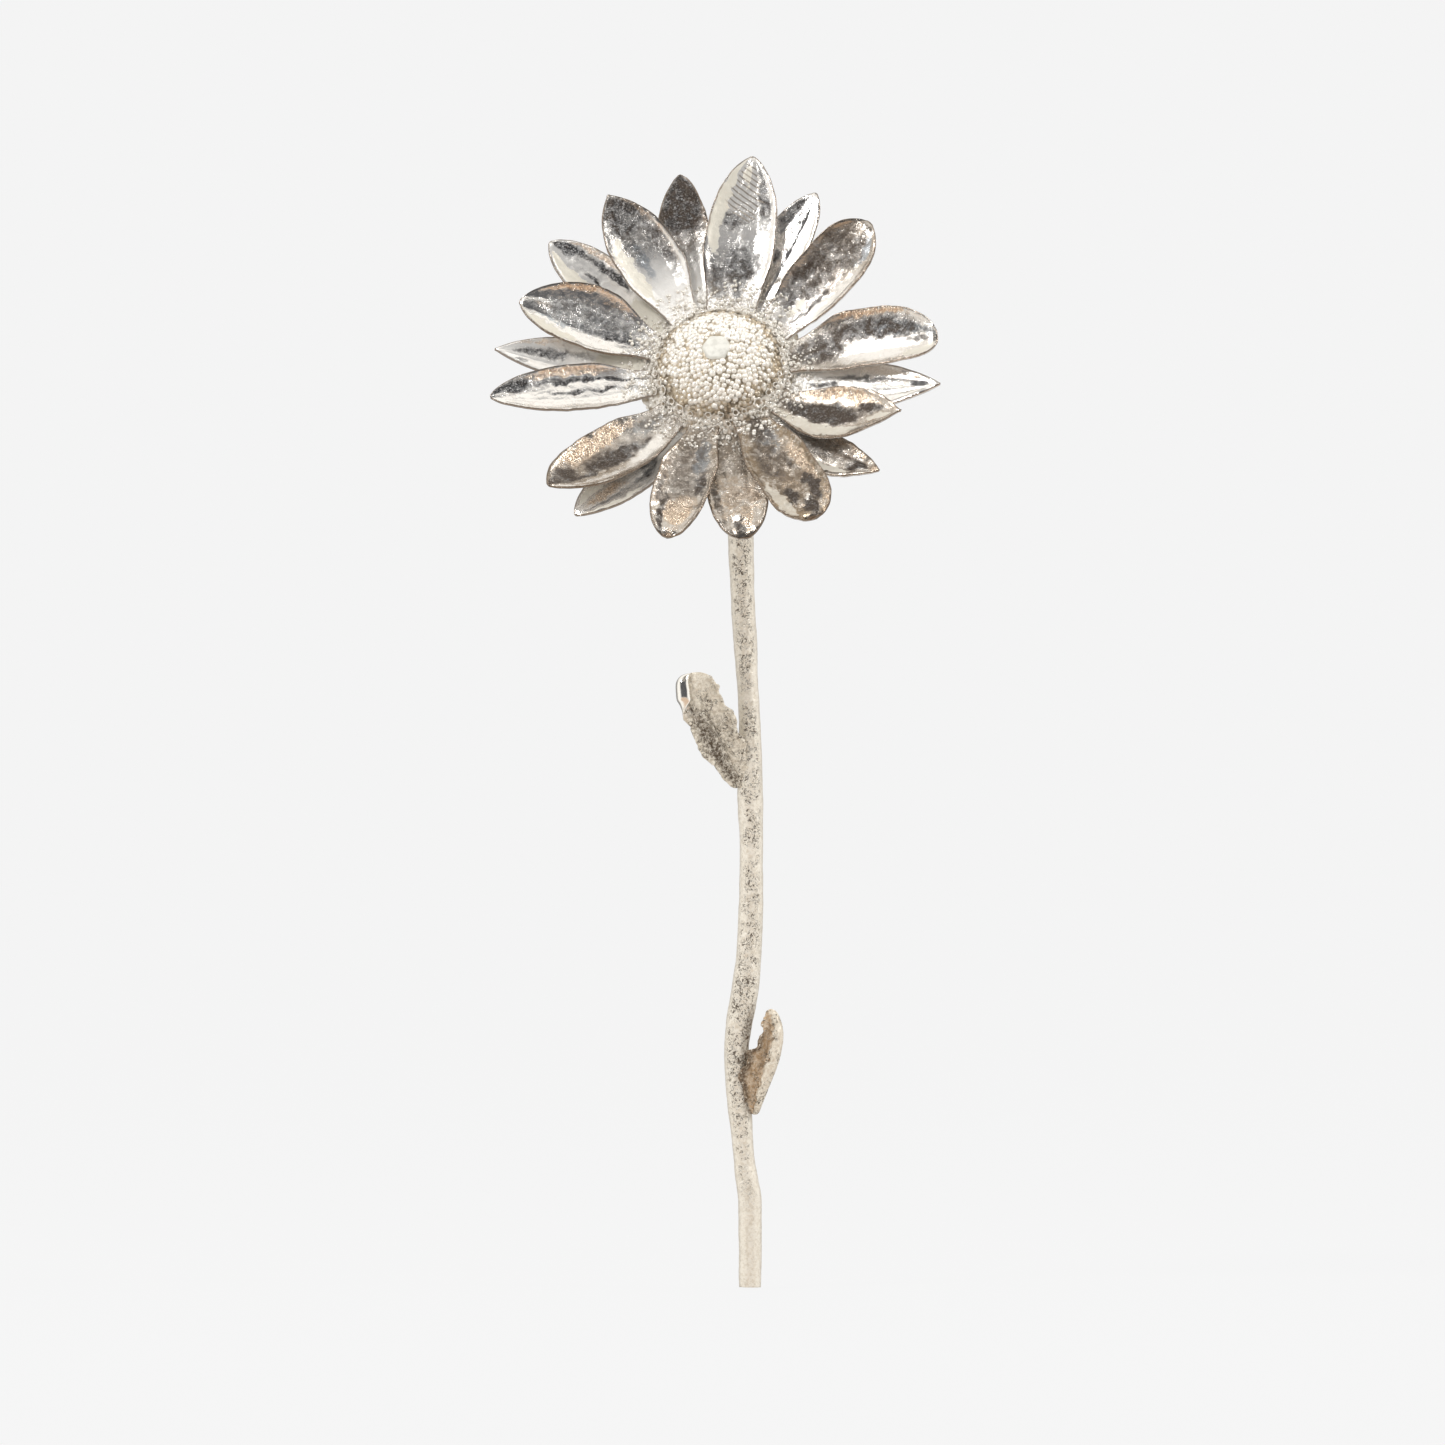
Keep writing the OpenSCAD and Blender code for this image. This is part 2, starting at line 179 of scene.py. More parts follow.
# One row for each petal, clockwise from the top, the same as the CAD's: compass angle of the tip,
# distance of the tip, full width, half-width where it leaves the disc, sideways bow, where it
# starts to close (a fraction of the length), how blunt it ends (-1 drawn out, 0 pointed, 1 round),
# sideways lean of the tip, downward curl of the tip, twist, and its layer (0 upper, 1 lower).
Petal = namedtuple("Petal", "angle tip wide neck bow close blunt lean curl twist layer")
PETALS = [
    Petal(84, 23, 7, 2.5, 0, 0.5, 0.5, 0, 0, 2, 0),
    Petal(66, 21.5, 5, 1.5, 0.5, 0.55, 0.5, 0, 0, -3, 1),
    Petal(46, 21, 6.5, 2, -0.5, 0.7, 0.5, 0, 0, 0, 0),
    Petal(5, 22, 6.5, 1.75, 1, 0.65, 1, -0.5, 0, 2, 0),
    Petal(-8, 22.5, 6, 1.5, -0.5, 0.4, 0, 0, 0, 0, 1),
    Petal(-21, 20, 6.5, 1.5, -2, 0.6, -0.5, 0, -0.3, -3, 0),
    Petal(-39, 21.5, 5, 1.5, -1.5, 0.55, 0, 0, -0.5, 0, 1),
    Petal(-61, 22.5, 6, 1.75, 0, 0.75, 1, 0, 0.2, 3, 0),
    Petal(-80, 21, 6, 1.5, 0, 0.6, 1, 0, 0.6, 0, 1),
    Petal(-100, 22, 5.5, 1.5, 0, 0.6, 1, 0, 0.5, -2, 0),
    Petal(-126, 22.5, 5, 1.5, 1, 0.55, 0.5, 0, 0.2, 0, 1),
    Petal(-135, 22.5, 6.5, 1.75, 1, 0.6, 0.5, 0, 0, 4, 0),
    Petal(-166, 23, 5.5, 1.5, 0, 0.5, 0.5, 0, 0, 2, 0),
    Petal(177, 22.5, 5, 1.5, 0, 0.45, 0, 0, 0, -2, 1),
    Petal(162, 21, 7, 1.5, -0.5, 0.55, 0.5, 0.5, 0, -2, 0),
    Petal(142, 22.5, 5.5, 1.5, 0, 0.6, 0.5, 0, 0, 0, 1),
    Petal(123, 22, 6.5, 1.5, 0, 0.6, 0, 0, 0, 3, 0),
    Petal(103, 22.5, 5.5, 1.5, 1, 0.5, 0.5, 0, 0, 0, 1),
]
# Thickness down a petal's middle and at its rim.
PETAL_MID = 0.46
PETAL_RIM = 0.34
# For the upper and the lower layer: height of the foot, rise in degrees, depth of the spoon.
LAYER_Z = (-0.2, -0.86)
LAYER_LIFT = (8.5, 4.4)
LAYER_CUP = (0.8, 0.4)
PETAL_ROWS = 120
TIP_R = 0.12

# Petals whose tips are crumpled, and by how many millimetres.
CRUMPLE = {8: 0.3, 9: 0.2, 10: 0.14, 7: 0.2, 12: 0.05, 18: 0.16, 6: 0.1, 16: 0.05, 2: 0.06}

# Patches on the petals' faces: kind, u and v of the middle, reach in u and v, strength. Dark is
# tarnish and also painted reflection: it paints in the dark reflections of the surroundings as
# shade. Blue is a thin tint of the tarnish. Warm is a warm toning and also a painted reflection of
# the warm table below. Pale is satin cream metal, clean is bare bright metal and wave is a patch of
# fine ripple marks.
PATCHES = {
    1: "wave .82 .05 .16 .6 1; pale .75 .8 .3 .28 1; pale .9 .1 .08 .3 .6; dark .8 -.6 .2 .22 .85; "
    "dark .66 .4 .06 .35 .85; dark .68 -.1 .05 .3 .6; clean .55 0 .06 1 1; dark .44 -.05 .13 .75 .9; "
    "dark .37 .6 .08 .3 .8; dark .3 -.1 .06 .2 .9; dark .32 .5 .1 .4 .7; clean .24 .3 .04 1 1",
    2: "dark .86 .6 .12 .4 .85; blue .95 0 .06 .5 .5; clean .75 -.5 .25 .35 1; dark .6 .15 .05 .22 .9; "
    "dark .42 .3 .1 .4 .5",
    3: "dark .6 .3 .42 .7 .8; dark .8 -.1 .16 .6 .8; dark .55 .6 .12 .22 .95; dark .42 .35 .13 .25 .9; "
    "pale .38 -.02 .07 .2 .9; warm .85 .1 .1 .35 .3; blue .86 -.62 .12 .2 .8; "
    "clean .5 -.8 .28 .27 1; dark .45 -.45 .18 .1 .85; dark .3 .1 .07 .5 .7; dark .72 .8 .16 .16 .7",
    4: "warm .66 .92 .2 .17 1; dark .68 .38 .34 .42 .95; blue .8 .35 .2 .3 .8; warm .82 .25 .04 .14 .7; "
    "clean .68 -.5 .2 .36 1; pale .9 -.75 .12 .25 1; dark .36 0 .18 .8 .95; blue .97 .3 .04 .4 .7; "
    "dark .9 -.1 .08 .18 .7",
    5: "clean .7 -.5 .3 .5 1; dark .62 .35 .26 .13 .7; dark .9 .1 .06 .35 .95; dark .38 0 .1 .15 .8; "
    "clean .75 .65 .2 .2 1; warm .9 .7 .08 .2 .7; dark .7 -.2 .15 .08 .5",
    6: "warm .6 .82 .26 .24 1; dark .52 -.02 .3 .48 1.25; dark .25 0 .1 .8 .6; pale .5 -.65 .35 .3 1; "
    "dark .8 .3 .1 .26 1; dark .82 -.72 .08 .1 .7; pale .88 -.2 .08 .3 .8; warm .78 .55 .1 .14 .8",
    7: "dark .6 .3 .4 .55 .5; warm .6 .5 .4 .5 .5; dark .88 0 .07 .45 1; warm .97 0 .035 1 1; "
    "pale .75 -.6 .14 .3 .8; warm .8 .8 .1 .2 .6",
    8: "dark .3 .1 .14 .7 .9; blue .36 .2 .14 .6 .7; dark .5 -.2 .2 .6 .7; dark .65 0 .3 1 .4; "
    "warm .64 .62 .18 .22 1.2; dark .8 .5 .12 .22 1.3; dark .92 .1 .1 .3 1.3; "
    "clean .84 .12 .03 .1 1; dark .8 -.32 .08 .22 1.3; pale .8 -.75 .18 .25 .9; "
    "warm .9 .85 .08 .14 1; dark .58 .3 .1 .14 .8; warm .55 -.2 .2 .3 .3",
    9: "dark .4 0 .2 1 .45; warm .75 0 .2 1 .6; dark .7 .1 .16 .9 .35; clean .86 -.2 .03 .2 1; "
    "dark .93 -.2 .03 .35 .9; dark .72 -.75 .14 .16 .7; warm .9 .3 .08 .2 1",
    10: "dark .5 0 .36 .9 .58; blue .42 .35 .16 .4 .8; dark .62 .6 .1 .26 1; warm .82 .12 .13 .7 1.2; "
    "dark .8 -.55 .1 .2 .8; dark .9 -.65 .1 .2 1; dark .7 -.8 .1 .14 .8; warm .97 .2 .04 .5 .8; "
    "dark .5 -.8 .3 .16 .6; warm .6 -.8 .3 .16 .5",
    11: "warm .8 .05 .14 .3 1; dark .56 .3 .1 .45 .9; dark .84 .45 .16 .13 .7; pale .8 .85 .2 .16 .9; "
    "clean .62 .1 .06 .2 .8; pale .8 -.6 .2 .3 .8",
    12: "warm .64 -.7 .28 .28 1.2; dark .35 -.3 .15 .5 .5; blue .35 -.3 .12 .4 .6; "
    "dark .62 .1 .2 .34 1.1; dark .45 .3 .1 .2 .85; dark .92 -.1 .12 .7 .9; dark .8 .3 .16 .12 .9; "
    "clean .78 .78 .26 .2 1; clean .44 .62 .16 .28 1; dark .7 -.25 .14 .2 .6; warm .78 -.4 .1 .2 .7; "
    "dark .5 0 .3 .4 .4",
    13: "warm .6 -.78 .24 .24 1; dark .5 -.42 .36 .12 1.2; dark .52 .08 .26 .12 1; "
    "dark .89 -.55 .13 .5 1.15; clean .6 .62 .45 .36 1; clean .4 -.15 .2 .12 .8; "
    "dark .8 -.25 .12 .16 .5; dark .3 .2 .12 .1 .6",
    14: "dark .76 -.15 .16 .4 .9; clean .93 .05 .03 .4 1; clean .7 .55 .2 .26 1; "
    "dark .86 .65 .05 .16 .7; dark .55 -.2 .1 .25 .5; pale .35 0 .2 1 .7; warm .8 -.85 .16 .16 .6",
    15: "warm .72 -.9 .2 .14 1; dark .6 -.1 .35 .55 .72; blue .6 .1 .3 .4 .5; dark .44 .25 .18 .24 1.05; "
    "clean .7 0 .09 .2 .45; warm .87 -.05 .06 .2 .6; clean .945 -.4 .022 .13 1; "
    "dark .56 .3 .16 .16 .8; blue .78 .45 .14 .12 .8; pale .8 .82 .2 .2 1; clean .42 .68 .16 .22 1; "
    "dark .4 -.5 .12 .2 .6; warm .5 -.75 .14 .2 .5",
    16: "warm .7 -.85 .25 .18 .9; dark .7 -.5 .3 .17 1.15; dark .64 .05 .16 .14 .95; "
    "dark .92 -.35 .09 .5 1.2; pale .75 .62 .25 .34 .9; clean .6 -.05 .1 .14 1; clean .45 0 .1 .8 1; "
    "pale .35 0 .16 1 .7",
    17: "dark .87 0 .15 1.2 1; dark .68 -.62 .25 .2 .8; warm .87 -.88 .1 .13 1; pale .58 .66 .25 .26 1; "
    "clean .55 0 .16 .36 .8; blue .6 .12 .14 .2 .8; dark .66 .2 .08 .16 .6; dark .62 -.62 .14 .2 .6; "
    "warm .62 -.7 .16 .2 .5; clean .35 -.1 .12 .4 1; dark .7 -.15 .06 .2 .6; dark .8 .9 .2 .1 .8",
    18: "dark .86 0 .24 1.3 1.3; warm .85 .35 .03 .14 1; dark .6 0 .1 .9 .6; clean .4 0 .12 .9 .8; "
    "warm .8 -.95 .14 .1 .8; warm .7 0 .2 .8 .3",
}

# How bronze and how frosted each petal is, at its foot and at its tip. The bronze is partly a toning
# of the metal and partly painted shade: it paints in the darker, browner reflections of the petals
# on the head's lower side.
BRONZE_AND_SHADE = {
    1: (0.15, 0.1), 2: (0.1, 0.0), 3: (0.4, 0.75), 4: (0.65, 0.35), 6: (0.8, 0.75), 7: (0.45, 0.65),
    8: (1.0, 1.0), 9: (0.9, 0.75), 10: (0.85, 0.7), 11: (0.0, 0.3), 12: (0.55, 0.85),
    17: (0.0, 0.25), 18: (0.0, 0.6),
}
FROST = {
    1: (0.1, 0.6), 5: (0.7, 0.2), 7: (0.6, 0.0), 11: (1.1, 0.4), 13: (0.3, 0.1), 14: (1.35, 0.7),
    16: (1.3, 0.6), 17: (1.1, 0.0), 18: (1.1, 0.0),
}


def read_patches(text):
    rows = [row.split() for row in text.split(";") if row.strip()]
    return [(row[0], *(float(cell) for cell in row[1:])) for row in rows]


PATCH_ROWS = {number: read_patches(text) for number, text in PATCHES.items()}
TONE_NAMES = ("dark", "warm", "blue", "pale", "wave")
# The petals' backs get some dark and warm tone too: tarnish and painted reflection, as on the faces.
BACK_TONES = {"dark": 0.3, "warm": 0.15, "blue": 0.0, "pale": 0.2}


def patch_tones(number, u, v, x, y):
    """How strong each tone is at a point of a petal's face, and how clean the metal is there."""
    tones, clean = dict.fromkeys(TONE_NAMES, 0.0), 0.0
    seed = 3.1 * number
    u += 0.03 * wobble(x, y, 0, 1.0, seed) + 0.018 * wobble(x, y, 0, 0.4, seed + 1)
    v += 0.15 * wobble(x, y, 0, 1.1, seed + 5) + 0.09 * wobble(x, y, 0, 0.4, seed + 6)
    for kind, pu, pv, ru, rv, strength in PATCH_ROWS[number]:
        reach = math.hypot((u - pu) / ru, (v - pv) / rv)
        weight = strength * (1 - ease((reach - 0.52) / 0.7))
        if kind == "clean":
            clean = max(clean, weight)
            for key in ("dark", "warm", "blue"):
                tones[key] *= 1 - min(1, weight)
        else:
            tones[kind] = max(tones[kind], weight)
            if kind == "pale":
                tones["dark"] *= 1 - 0.8 * min(1, weight)
                tones["blue"] *= 1 - min(1, weight)
    return tones, min(1, clean)


def petal_half(p, x, u):
    """The half-width of petal p before and after its tip closes."""
    if x < CLAW_END:
        open_half = mix(CLAW_HALF, p.neck, (x - CLAW_R) / (CLAW_END - CLAW_R))
    else:
        open_half = mix(p.neck, p.wide / 2, ease((x - CLAW_END) / 6))
    tip_u = 1 - TIP_R / (p.tip - CLAW_R)
    t = max(0, min(u, tip_u) - p.close) / (1 - p.close)
    half = open_half * max(0, 1 - t**2.6) ** (1 - p.blunt / 2)
    half *= math.sqrt(max(0, 1 - (max(0, u - tip_u) / (1 - tip_u)) ** 2))
    return open_half, max(0.05, half)


def petal_point(number, p, u, v, side, rim):
    """A point of petal number in the head's frame before it is turned to its compass angle.

    Also says how near the point is to the petal's outline: 0 in the middle, 1 at the edge.
    """
    tip, layer = p.tip, p.layer
    x = CLAW_R + (tip - CLAW_R) * u
    open_half, half = petal_half(p, x, u)
    foot = LAYER_Z[layer]
    tip_z = tip * math.tan(math.radians(LAYER_LIFT[layer]))
    rise = (max(0, x - FLAT_R) / (tip - FLAT_R)) ** 1.3 * (tip_z - foot)
    rise -= p.curl * (max(0, u - 0.78) / 0.22) ** 2
    free = ease((x - CLAW_END) / 5)
    # The rim follows the outline round the tip, so the hollow closes there like a spoon's.
    edge = clamp(1 - min(half * (1 - abs(v)), 0.62 * (tip - x)) / open_half)
    spoon = 0.25 * edge**2 + 0.75 * edge**3.5
    rim_lift = LAYER_CUP[layer] * min(1, half / (p.wide / 2)) * free
    depth = max(rim_lift, 0.42 * LAYER_CUP[layer] * ease((u - 0.5) / 0.35))
    lip = 0.05 * bell(edge, 0.93, 0.045) * free * (1 - ease((u - 0.9) / 0.06))
    groove = 0.05 * bell(abs(v), 0.4, 0.1) * free * (1 - ease((edge - 0.6) / 0.3))
    hollow = rim_lift - depth * (1 - spoon)
    thick = mix(PETAL_MID, PETAL_RIM, v * v) * (1 - 0.35 * ease((u - 0.97) / 0.03))
    seed = 7.31 * number
    uneven = 1 + 0.03 * wobble(x, 5 * v, 0, 2.2, seed) * free + 0.02 * wobble(x, 5 * v, 0, 0.7, seed)
    y = p.bow * math.sin(math.pi * u) + v * half * uneven + rim * math.copysign(0.1, v)
    y += p.lean * (max(0, u - p.close) / (1 - p.close)) ** 2
    z = foot + rise + hollow + v * half * math.tan(math.radians(p.twist)) * free
    if side > 0:
        z += lip - groove
    inner = 1 - ease((edge - 0.75) / 0.25)
    z += (0.1 * wobble(x, y, 0, 3.3, seed) + 0.05 * wobble(x, y, 0, 1.4, seed + 3)) * free
    z += 0.03 * wobble(x, y, 0, 0.6, seed + 5) * free * mix(0.4, 1, inner)
    crust = ease((11.5 - x) / 4)
    z += side * crust * (0.05 * wobble(x, y, 0, 0.5, seed + 7) + 0.03 * wobble(x, y, 0, 0.27, seed + 8))
    crumple = CRUMPLE.get(number, 0) * ease((u - 0.62) / 0.2)
    z += crumple * (wobble(x, y, 0, 1.9, seed + 9) + 0.6 * wobble(x, y, 0, 0.9, seed + 11))
    return x, y, z + side * thick / 2, edge


def build_petal(number, p, material):
    turn = HEAD @ Matrix.Rotation(math.radians(p.angle), 4, "Z")
    verts, uvs = [], []
    layers = {key: [] for key in ("along", "across", "bronze_and_shade", "frost", *TONE_NAMES)}
    bronze_and_shade, frost = BRONZE_AND_SHADE.get(number, (0, 0)), FROST.get(number, (0, 0))
    for i in range(PETAL_ROWS + 1):
        t = i / PETAL_ROWS
        u = 1 - (1 - t) ** 1.4
        for v, side, rim in MARKS:
            *point, edge = petal_point(number, p, u, v, side, rim)
            verts.append(turn @ Vector(point))
            uvs.append((point[0] / 32, 0.5 + point[1] / 32))
            layers["along"].append(u)
            layers["across"].append(edge if side > 0 else 0.9)
            tones, clean = patch_tones(number, u, v, *point[:2]) if side > 0 else (BACK_TONES, 0)
            for key in TONE_NAMES:
                layers[key].append(tones.get(key, 0.0))
            far = ease((u - 0.35) / 0.4)
            # Bronze toning with painted shade, less where the metal is clean; the backs get a little.
            layers["bronze_and_shade"].append(mix(*bronze_and_shade, far) * (1 - 0.8 * clean) if side > 0 else 0.25)
            layers["frost"].append(mix(*frost, far) if side > 0 else 0.3)
    faces = loop_faces(PETAL_ROWS + 1, len(MARKS))
    name = f"petal_{number:02d}_cast"
    obj = new_object(name, verts, faces, material, layers=layers, uvs=uvs)
    place(obj, "polished_silver", f"petal_{number:02d}")


# ---------------------------------------------------------------- materials


class Nodes:
    """A small helper that builds the node tree of a material or of the world."""

    def __init__(self, owner):
        owner.use_nodes = True
        self.tree = owner.node_tree
        self.tree.nodes.clear()

    def add(self, kind, **settings):
        node = self.tree.nodes.new(kind)
        for key, value in settings.items():
            setattr(node, key, value)
        return node

    def link(self, source, target):
        self.tree.links.new(source, target)

    def feed(self, socket, value):
        if isinstance(value, bpy.types.NodeSocket):
            self.link(value, socket)
        else:
            socket.default_value = value

    def math(self, operation, a, b=0.0, c=0.0):
        node = self.add("ShaderNodeMath", operation=operation)
        for socket, value in zip(node.inputs, (a, b, c)):
            self.feed(socket, value)
        return node.outputs["Value"]

    def times(self, a, b):
        return self.math("MULTIPLY", a, b)

    def times_plus(self, a, b, c):
        """a times b, plus c."""
        return self.math("MULTIPLY_ADD", a, b, c)

    def ramp(self, value, low, high, out_low=0.0, out_high=1.0, smooth=True):
        """The value, taken from low...high to out_low...out_high and held there beyond."""
        node = self.add("ShaderNodeMapRange", interpolation_type="SMOOTHSTEP" if smooth else "LINEAR")
        numbers = {"From Min": low, "From Max": high, "To Min": out_low, "To Max": out_high}
        for key, number in numbers.items():
            node.inputs[key].default_value = number
        self.feed(node.inputs["Value"], value)
        return node.outputs["Result"]

    def blend(self, factor, a, b):
        node = self.add("ShaderNodeMix", data_type="RGBA")
        self.feed(node.inputs[0], factor)
        for socket, value in ((node.inputs[6], a), (node.inputs[7], b)):
            self.feed(socket, value if isinstance(value, bpy.types.NodeSocket) else (*value, 1.0))
        return node.outputs[2]


class Shade(Nodes):
    """One material round a principled shader."""

    def __init__(self, name):
        self.material = bpy.data.materials.new(name)
        super().__init__(self.material)
        self.out = self.add("ShaderNodeOutputMaterial")
        self.shader = self.add("ShaderNodeBsdfPrincipled")
        self.link(self.shader.outputs["BSDF"], self.out.inputs["Surface"])

    def set(self, name, value):
        self.feed(self.shader.inputs[name], value)

    def object_mm(self):
        """Object coordinates, in millimetres."""
        coords = self.add("ShaderNodeTexCoord")
        scale = self.add("ShaderNodeMapping")
        scale.inputs["Scale"].default_value = (1 / MM, 1 / MM, 1 / MM)
        self.link(coords.outputs["Object"], scale.inputs["Vector"])
        return scale.outputs["Vector"]

    def stretched(self, vector, scale, shift=(0, 0, 0)):
        node = self.add("ShaderNodeMapping")
        node.inputs["Scale"].default_value = scale
        node.inputs["Location"].default_value = shift
        self.link(vector, node.inputs["Vector"])
        return node.outputs["Vector"]

    def noise(self, vector, scale, detail=3.0, rough=0.55, distort=0.0):
        node = self.add("ShaderNodeTexNoise")
        node.inputs["Scale"].default_value = scale
        node.inputs["Detail"].default_value = detail
        node.inputs["Roughness"].default_value = rough
        node.inputs["Distortion"].default_value = distort
        self.link(vector, node.inputs["Vector"])
        return node.outputs["Fac"]

    def layer(self, name):
        node = self.add("ShaderNodeAttribute", attribute_name=name)
        return node.outputs["Fac"]

    def bump(self, height, distance):
        """A bump of this height, its full distance in millimetres."""
        node = self.add("ShaderNodeBump")
        node.inputs["Distance"].default_value = distance * MM
        self.feed(node.inputs["Height"], height)
        return node.outputs["Normal"]


SILVER = (0.955, 0.93, 0.893)
CREAM = (0.66, 0.62, 0.53)
# Near black, pale grey and brown for the petals' dark patches: tarnish that also paints in dark reflections
# as shade; the grey specks are partly painted glints.
TARNISH_AND_SHADE = (0.02, 0.0205, 0.023)
PALE_TARNISH_GLINT = (0.5, 0.49, 0.48)
BROWN_TARNISH_AND_SHADE = (0.075, 0.054, 0.038)
# Bronze for the toning that also paints in the darker, browner reflections of the petals on the head's
# lower side.
BRONZE_AND_SHADE_TINT = (0.27, 0.205, 0.138)
BLUE_TINT = (0.3, 0.35, 0.4)
# Peach for the warm patches: a warm toning and a painted reflection of the warm table below.
PEACH_TINT = (0.95, 0.78, 0.61)
PEACH_SHADE = (0.5, 0.375, 0.27)
EDGE_BROWN = (0.22, 0.17, 0.13)
FROST_WHITE = (0.92, 0.89, 0.84)
CRUMB_BROWN = (0.32, 0.27, 0.21)


def petal_silver(name, seed=0.0):
    """Cast silver: bright on its rims and ridges, with mottled tarnish, partly painted reflection and
    shade, where its layers say so.
    """
    s = Shade(name)
    at = s.stretched(s.object_mm(), (1, 1, 1), (seed, 2 * seed, 0))
    speck = s.ramp(s.noise(at, 5.0, 2.0, 0.6), 0.36, 0.64, -0.5, 0.5, False)
    grain = s.ramp(s.noise(at, 2.1, 4.0, 0.7, 0.5), 0.36, 0.64, -0.5, 0.5, False)
    blotch = s.ramp(s.noise(at, 0.85, 3.0, 0.6, 0.8), 0.36, 0.64, -0.5, 0.5, False)
    dark, warm, blue, pale, wave = (s.layer(key) for key in TONE_NAMES)
    across, along, bronze_and_shade, frost = (s.layer(key) for key in ("across", "along", "bronze_and_shade", "frost"))
    base = s.ramp(along, 0.42, 0.24)
    mottle = s.times_plus(grain, 0.5, s.times(blotch, 0.55))
    mottle = s.times_plus(speck, 0.4, mottle)
    # The dark patches: tarnish, and also painted shade that stands in for dark reflections, mottled and
    # less shiny.
    reach = s.times_plus(dark, 0.75, 0.25)
    stain_and_shade = s.times_plus(mottle, reach, s.times(dark, 1.05))
    tarnish_and_shade = s.times(s.ramp(stain_and_shade, 0.0, 1.15), s.ramp(pale, 0.9, 0.2, 0.2, 1.0))
    # Light specks in the dark patches: grain of the tarnish and painted glints of light on its bumps.
    salt_glints = s.ramp(s.times_plus(speck, 1.1, s.times(grain, 0.7)), -0.15, 1.1)
    deep = s.blend(salt_glints, TARNISH_AND_SHADE, PALE_TARNISH_GLINT)
    # Browner dark patches where there are blotches and where the bronze's painted shade is.
    browning_and_shade = s.math("ADD", s.times(blotch, 0.7), s.times(bronze_and_shade, 0.8))
    deep = s.blend(s.ramp(browning_and_shade, 0.0, 0.8, 0.0, 0.75), deep, BROWN_TARNISH_AND_SHADE)
    satin = s.ramp(s.times_plus(grain, 0.15, pale), 0.42, 0.6)
    colour = s.blend(s.times(frost, 0.9), SILVER, FROST_WHITE)
    # Bronze toning, partly painted shade for the darker, browner reflections of the petals on the head's
    # lower side.
    toned = s.times(bronze_and_shade, s.ramp(mottle, -0.7, 0.3, 0.55, 1.0))
    colour = s.blend(toned, colour, BRONZE_AND_SHADE_TINT)
    colour = s.blend(s.times(satin, s.times_plus(bronze_and_shade, -0.45, 1.0)), colour, CREAM)
    tint = s.ramp(s.times_plus(grain, 0.8, blue), 0.2, 0.8)
    colour = s.blend(s.times(tint, s.times(blue, 0.8)), colour, BLUE_TINT)
    # Warm patches: a warm toning and a painted reflection of the warm table below, mottled like crumpled
    # foil.
    foil = s.ramp(s.noise(at, 2.4, 3.0, 0.65, 1.5), 0.4, 0.6)
    peach = s.ramp(s.times_plus(mottle, 0.9, warm), 0.15, 1.1, 0.0, 0.85)
    colour = s.blend(peach, colour, s.blend(foil, PEACH_SHADE, PEACH_TINT))
    colour = s.blend(tarnish_and_shade, colour, deep)
    bands = s.add("ShaderNodeTexWave", bands_direction="DIAGONAL")
    for key, number in (("Scale", 0.85), ("Distortion", 4.0), ("Detail", 1.0), ("Detail Scale", 0.3)):
        bands.inputs[key].default_value = number
    s.link(at, bands.inputs["Vector"])
    lines = s.times(s.ramp(bands.outputs["Fac"], 0.3, 0.1), s.ramp(wave, 0.1, 0.6, 0.0, 0.8))
    colour = s.blend(lines, colour, CRUMB_BROWN)
    crumbs = s.times(s.ramp(mottle, 0.0, 0.5), base)
    colour = s.blend(s.times(crumbs, 0.75), colour, CRUMB_BROWN)
    edge = s.ramp(s.times_plus(grain, 0.03, across), 0.955, 0.99, 0.0, 0.85)
    colour = s.blend(edge, colour, EDGE_BROWN)
    s.set("Base Color", colour)
    metal = s.times_plus(tarnish_and_shade, -0.35, 1.0)
    metal = s.times(metal, s.times_plus(satin, -0.7, 1.0))
    metal = s.times(metal, s.times_plus(frost, -0.65, 1.0))
    s.set("Metallic", s.times(metal, s.times_plus(base, -0.3, 1.0)))
    rough = s.times_plus(tarnish_and_shade, 0.16, s.ramp(grain, -0.5, 0.5, 0.12, 0.26))
    rough = s.times_plus(satin, 0.16, rough)
    rough = s.times_plus(bronze_and_shade, 0.08, rough)
    s.set("Roughness", s.times_plus(base, 0.06, rough))
    busy = s.math("MAXIMUM", s.times_plus(dark, 0.6, 0.24), base)
    busy = s.math("MAXIMUM", busy, s.times(warm, 0.9))
    height = s.times_plus(speck, 0.35, grain)
    s.set("Normal", s.bump(s.times(height, busy), 0.045))
    return s.material


def crackle(s, at, size):
    """Thin worm-like cracks, about size millimetres from one to the next."""
    worm = s.noise(at, 1 / size, 1.0, 0.5, 1.5)
    ridge = s.math("ABSOLUTE", s.math("SUBTRACT", worm, 0.5))
    broken = s.ramp(s.noise(at, 2.0 / size, 1.0, 0.5), 0.46, 0.54)
    return s.times(s.ramp(ridge, 0.042, 0.016), broken)


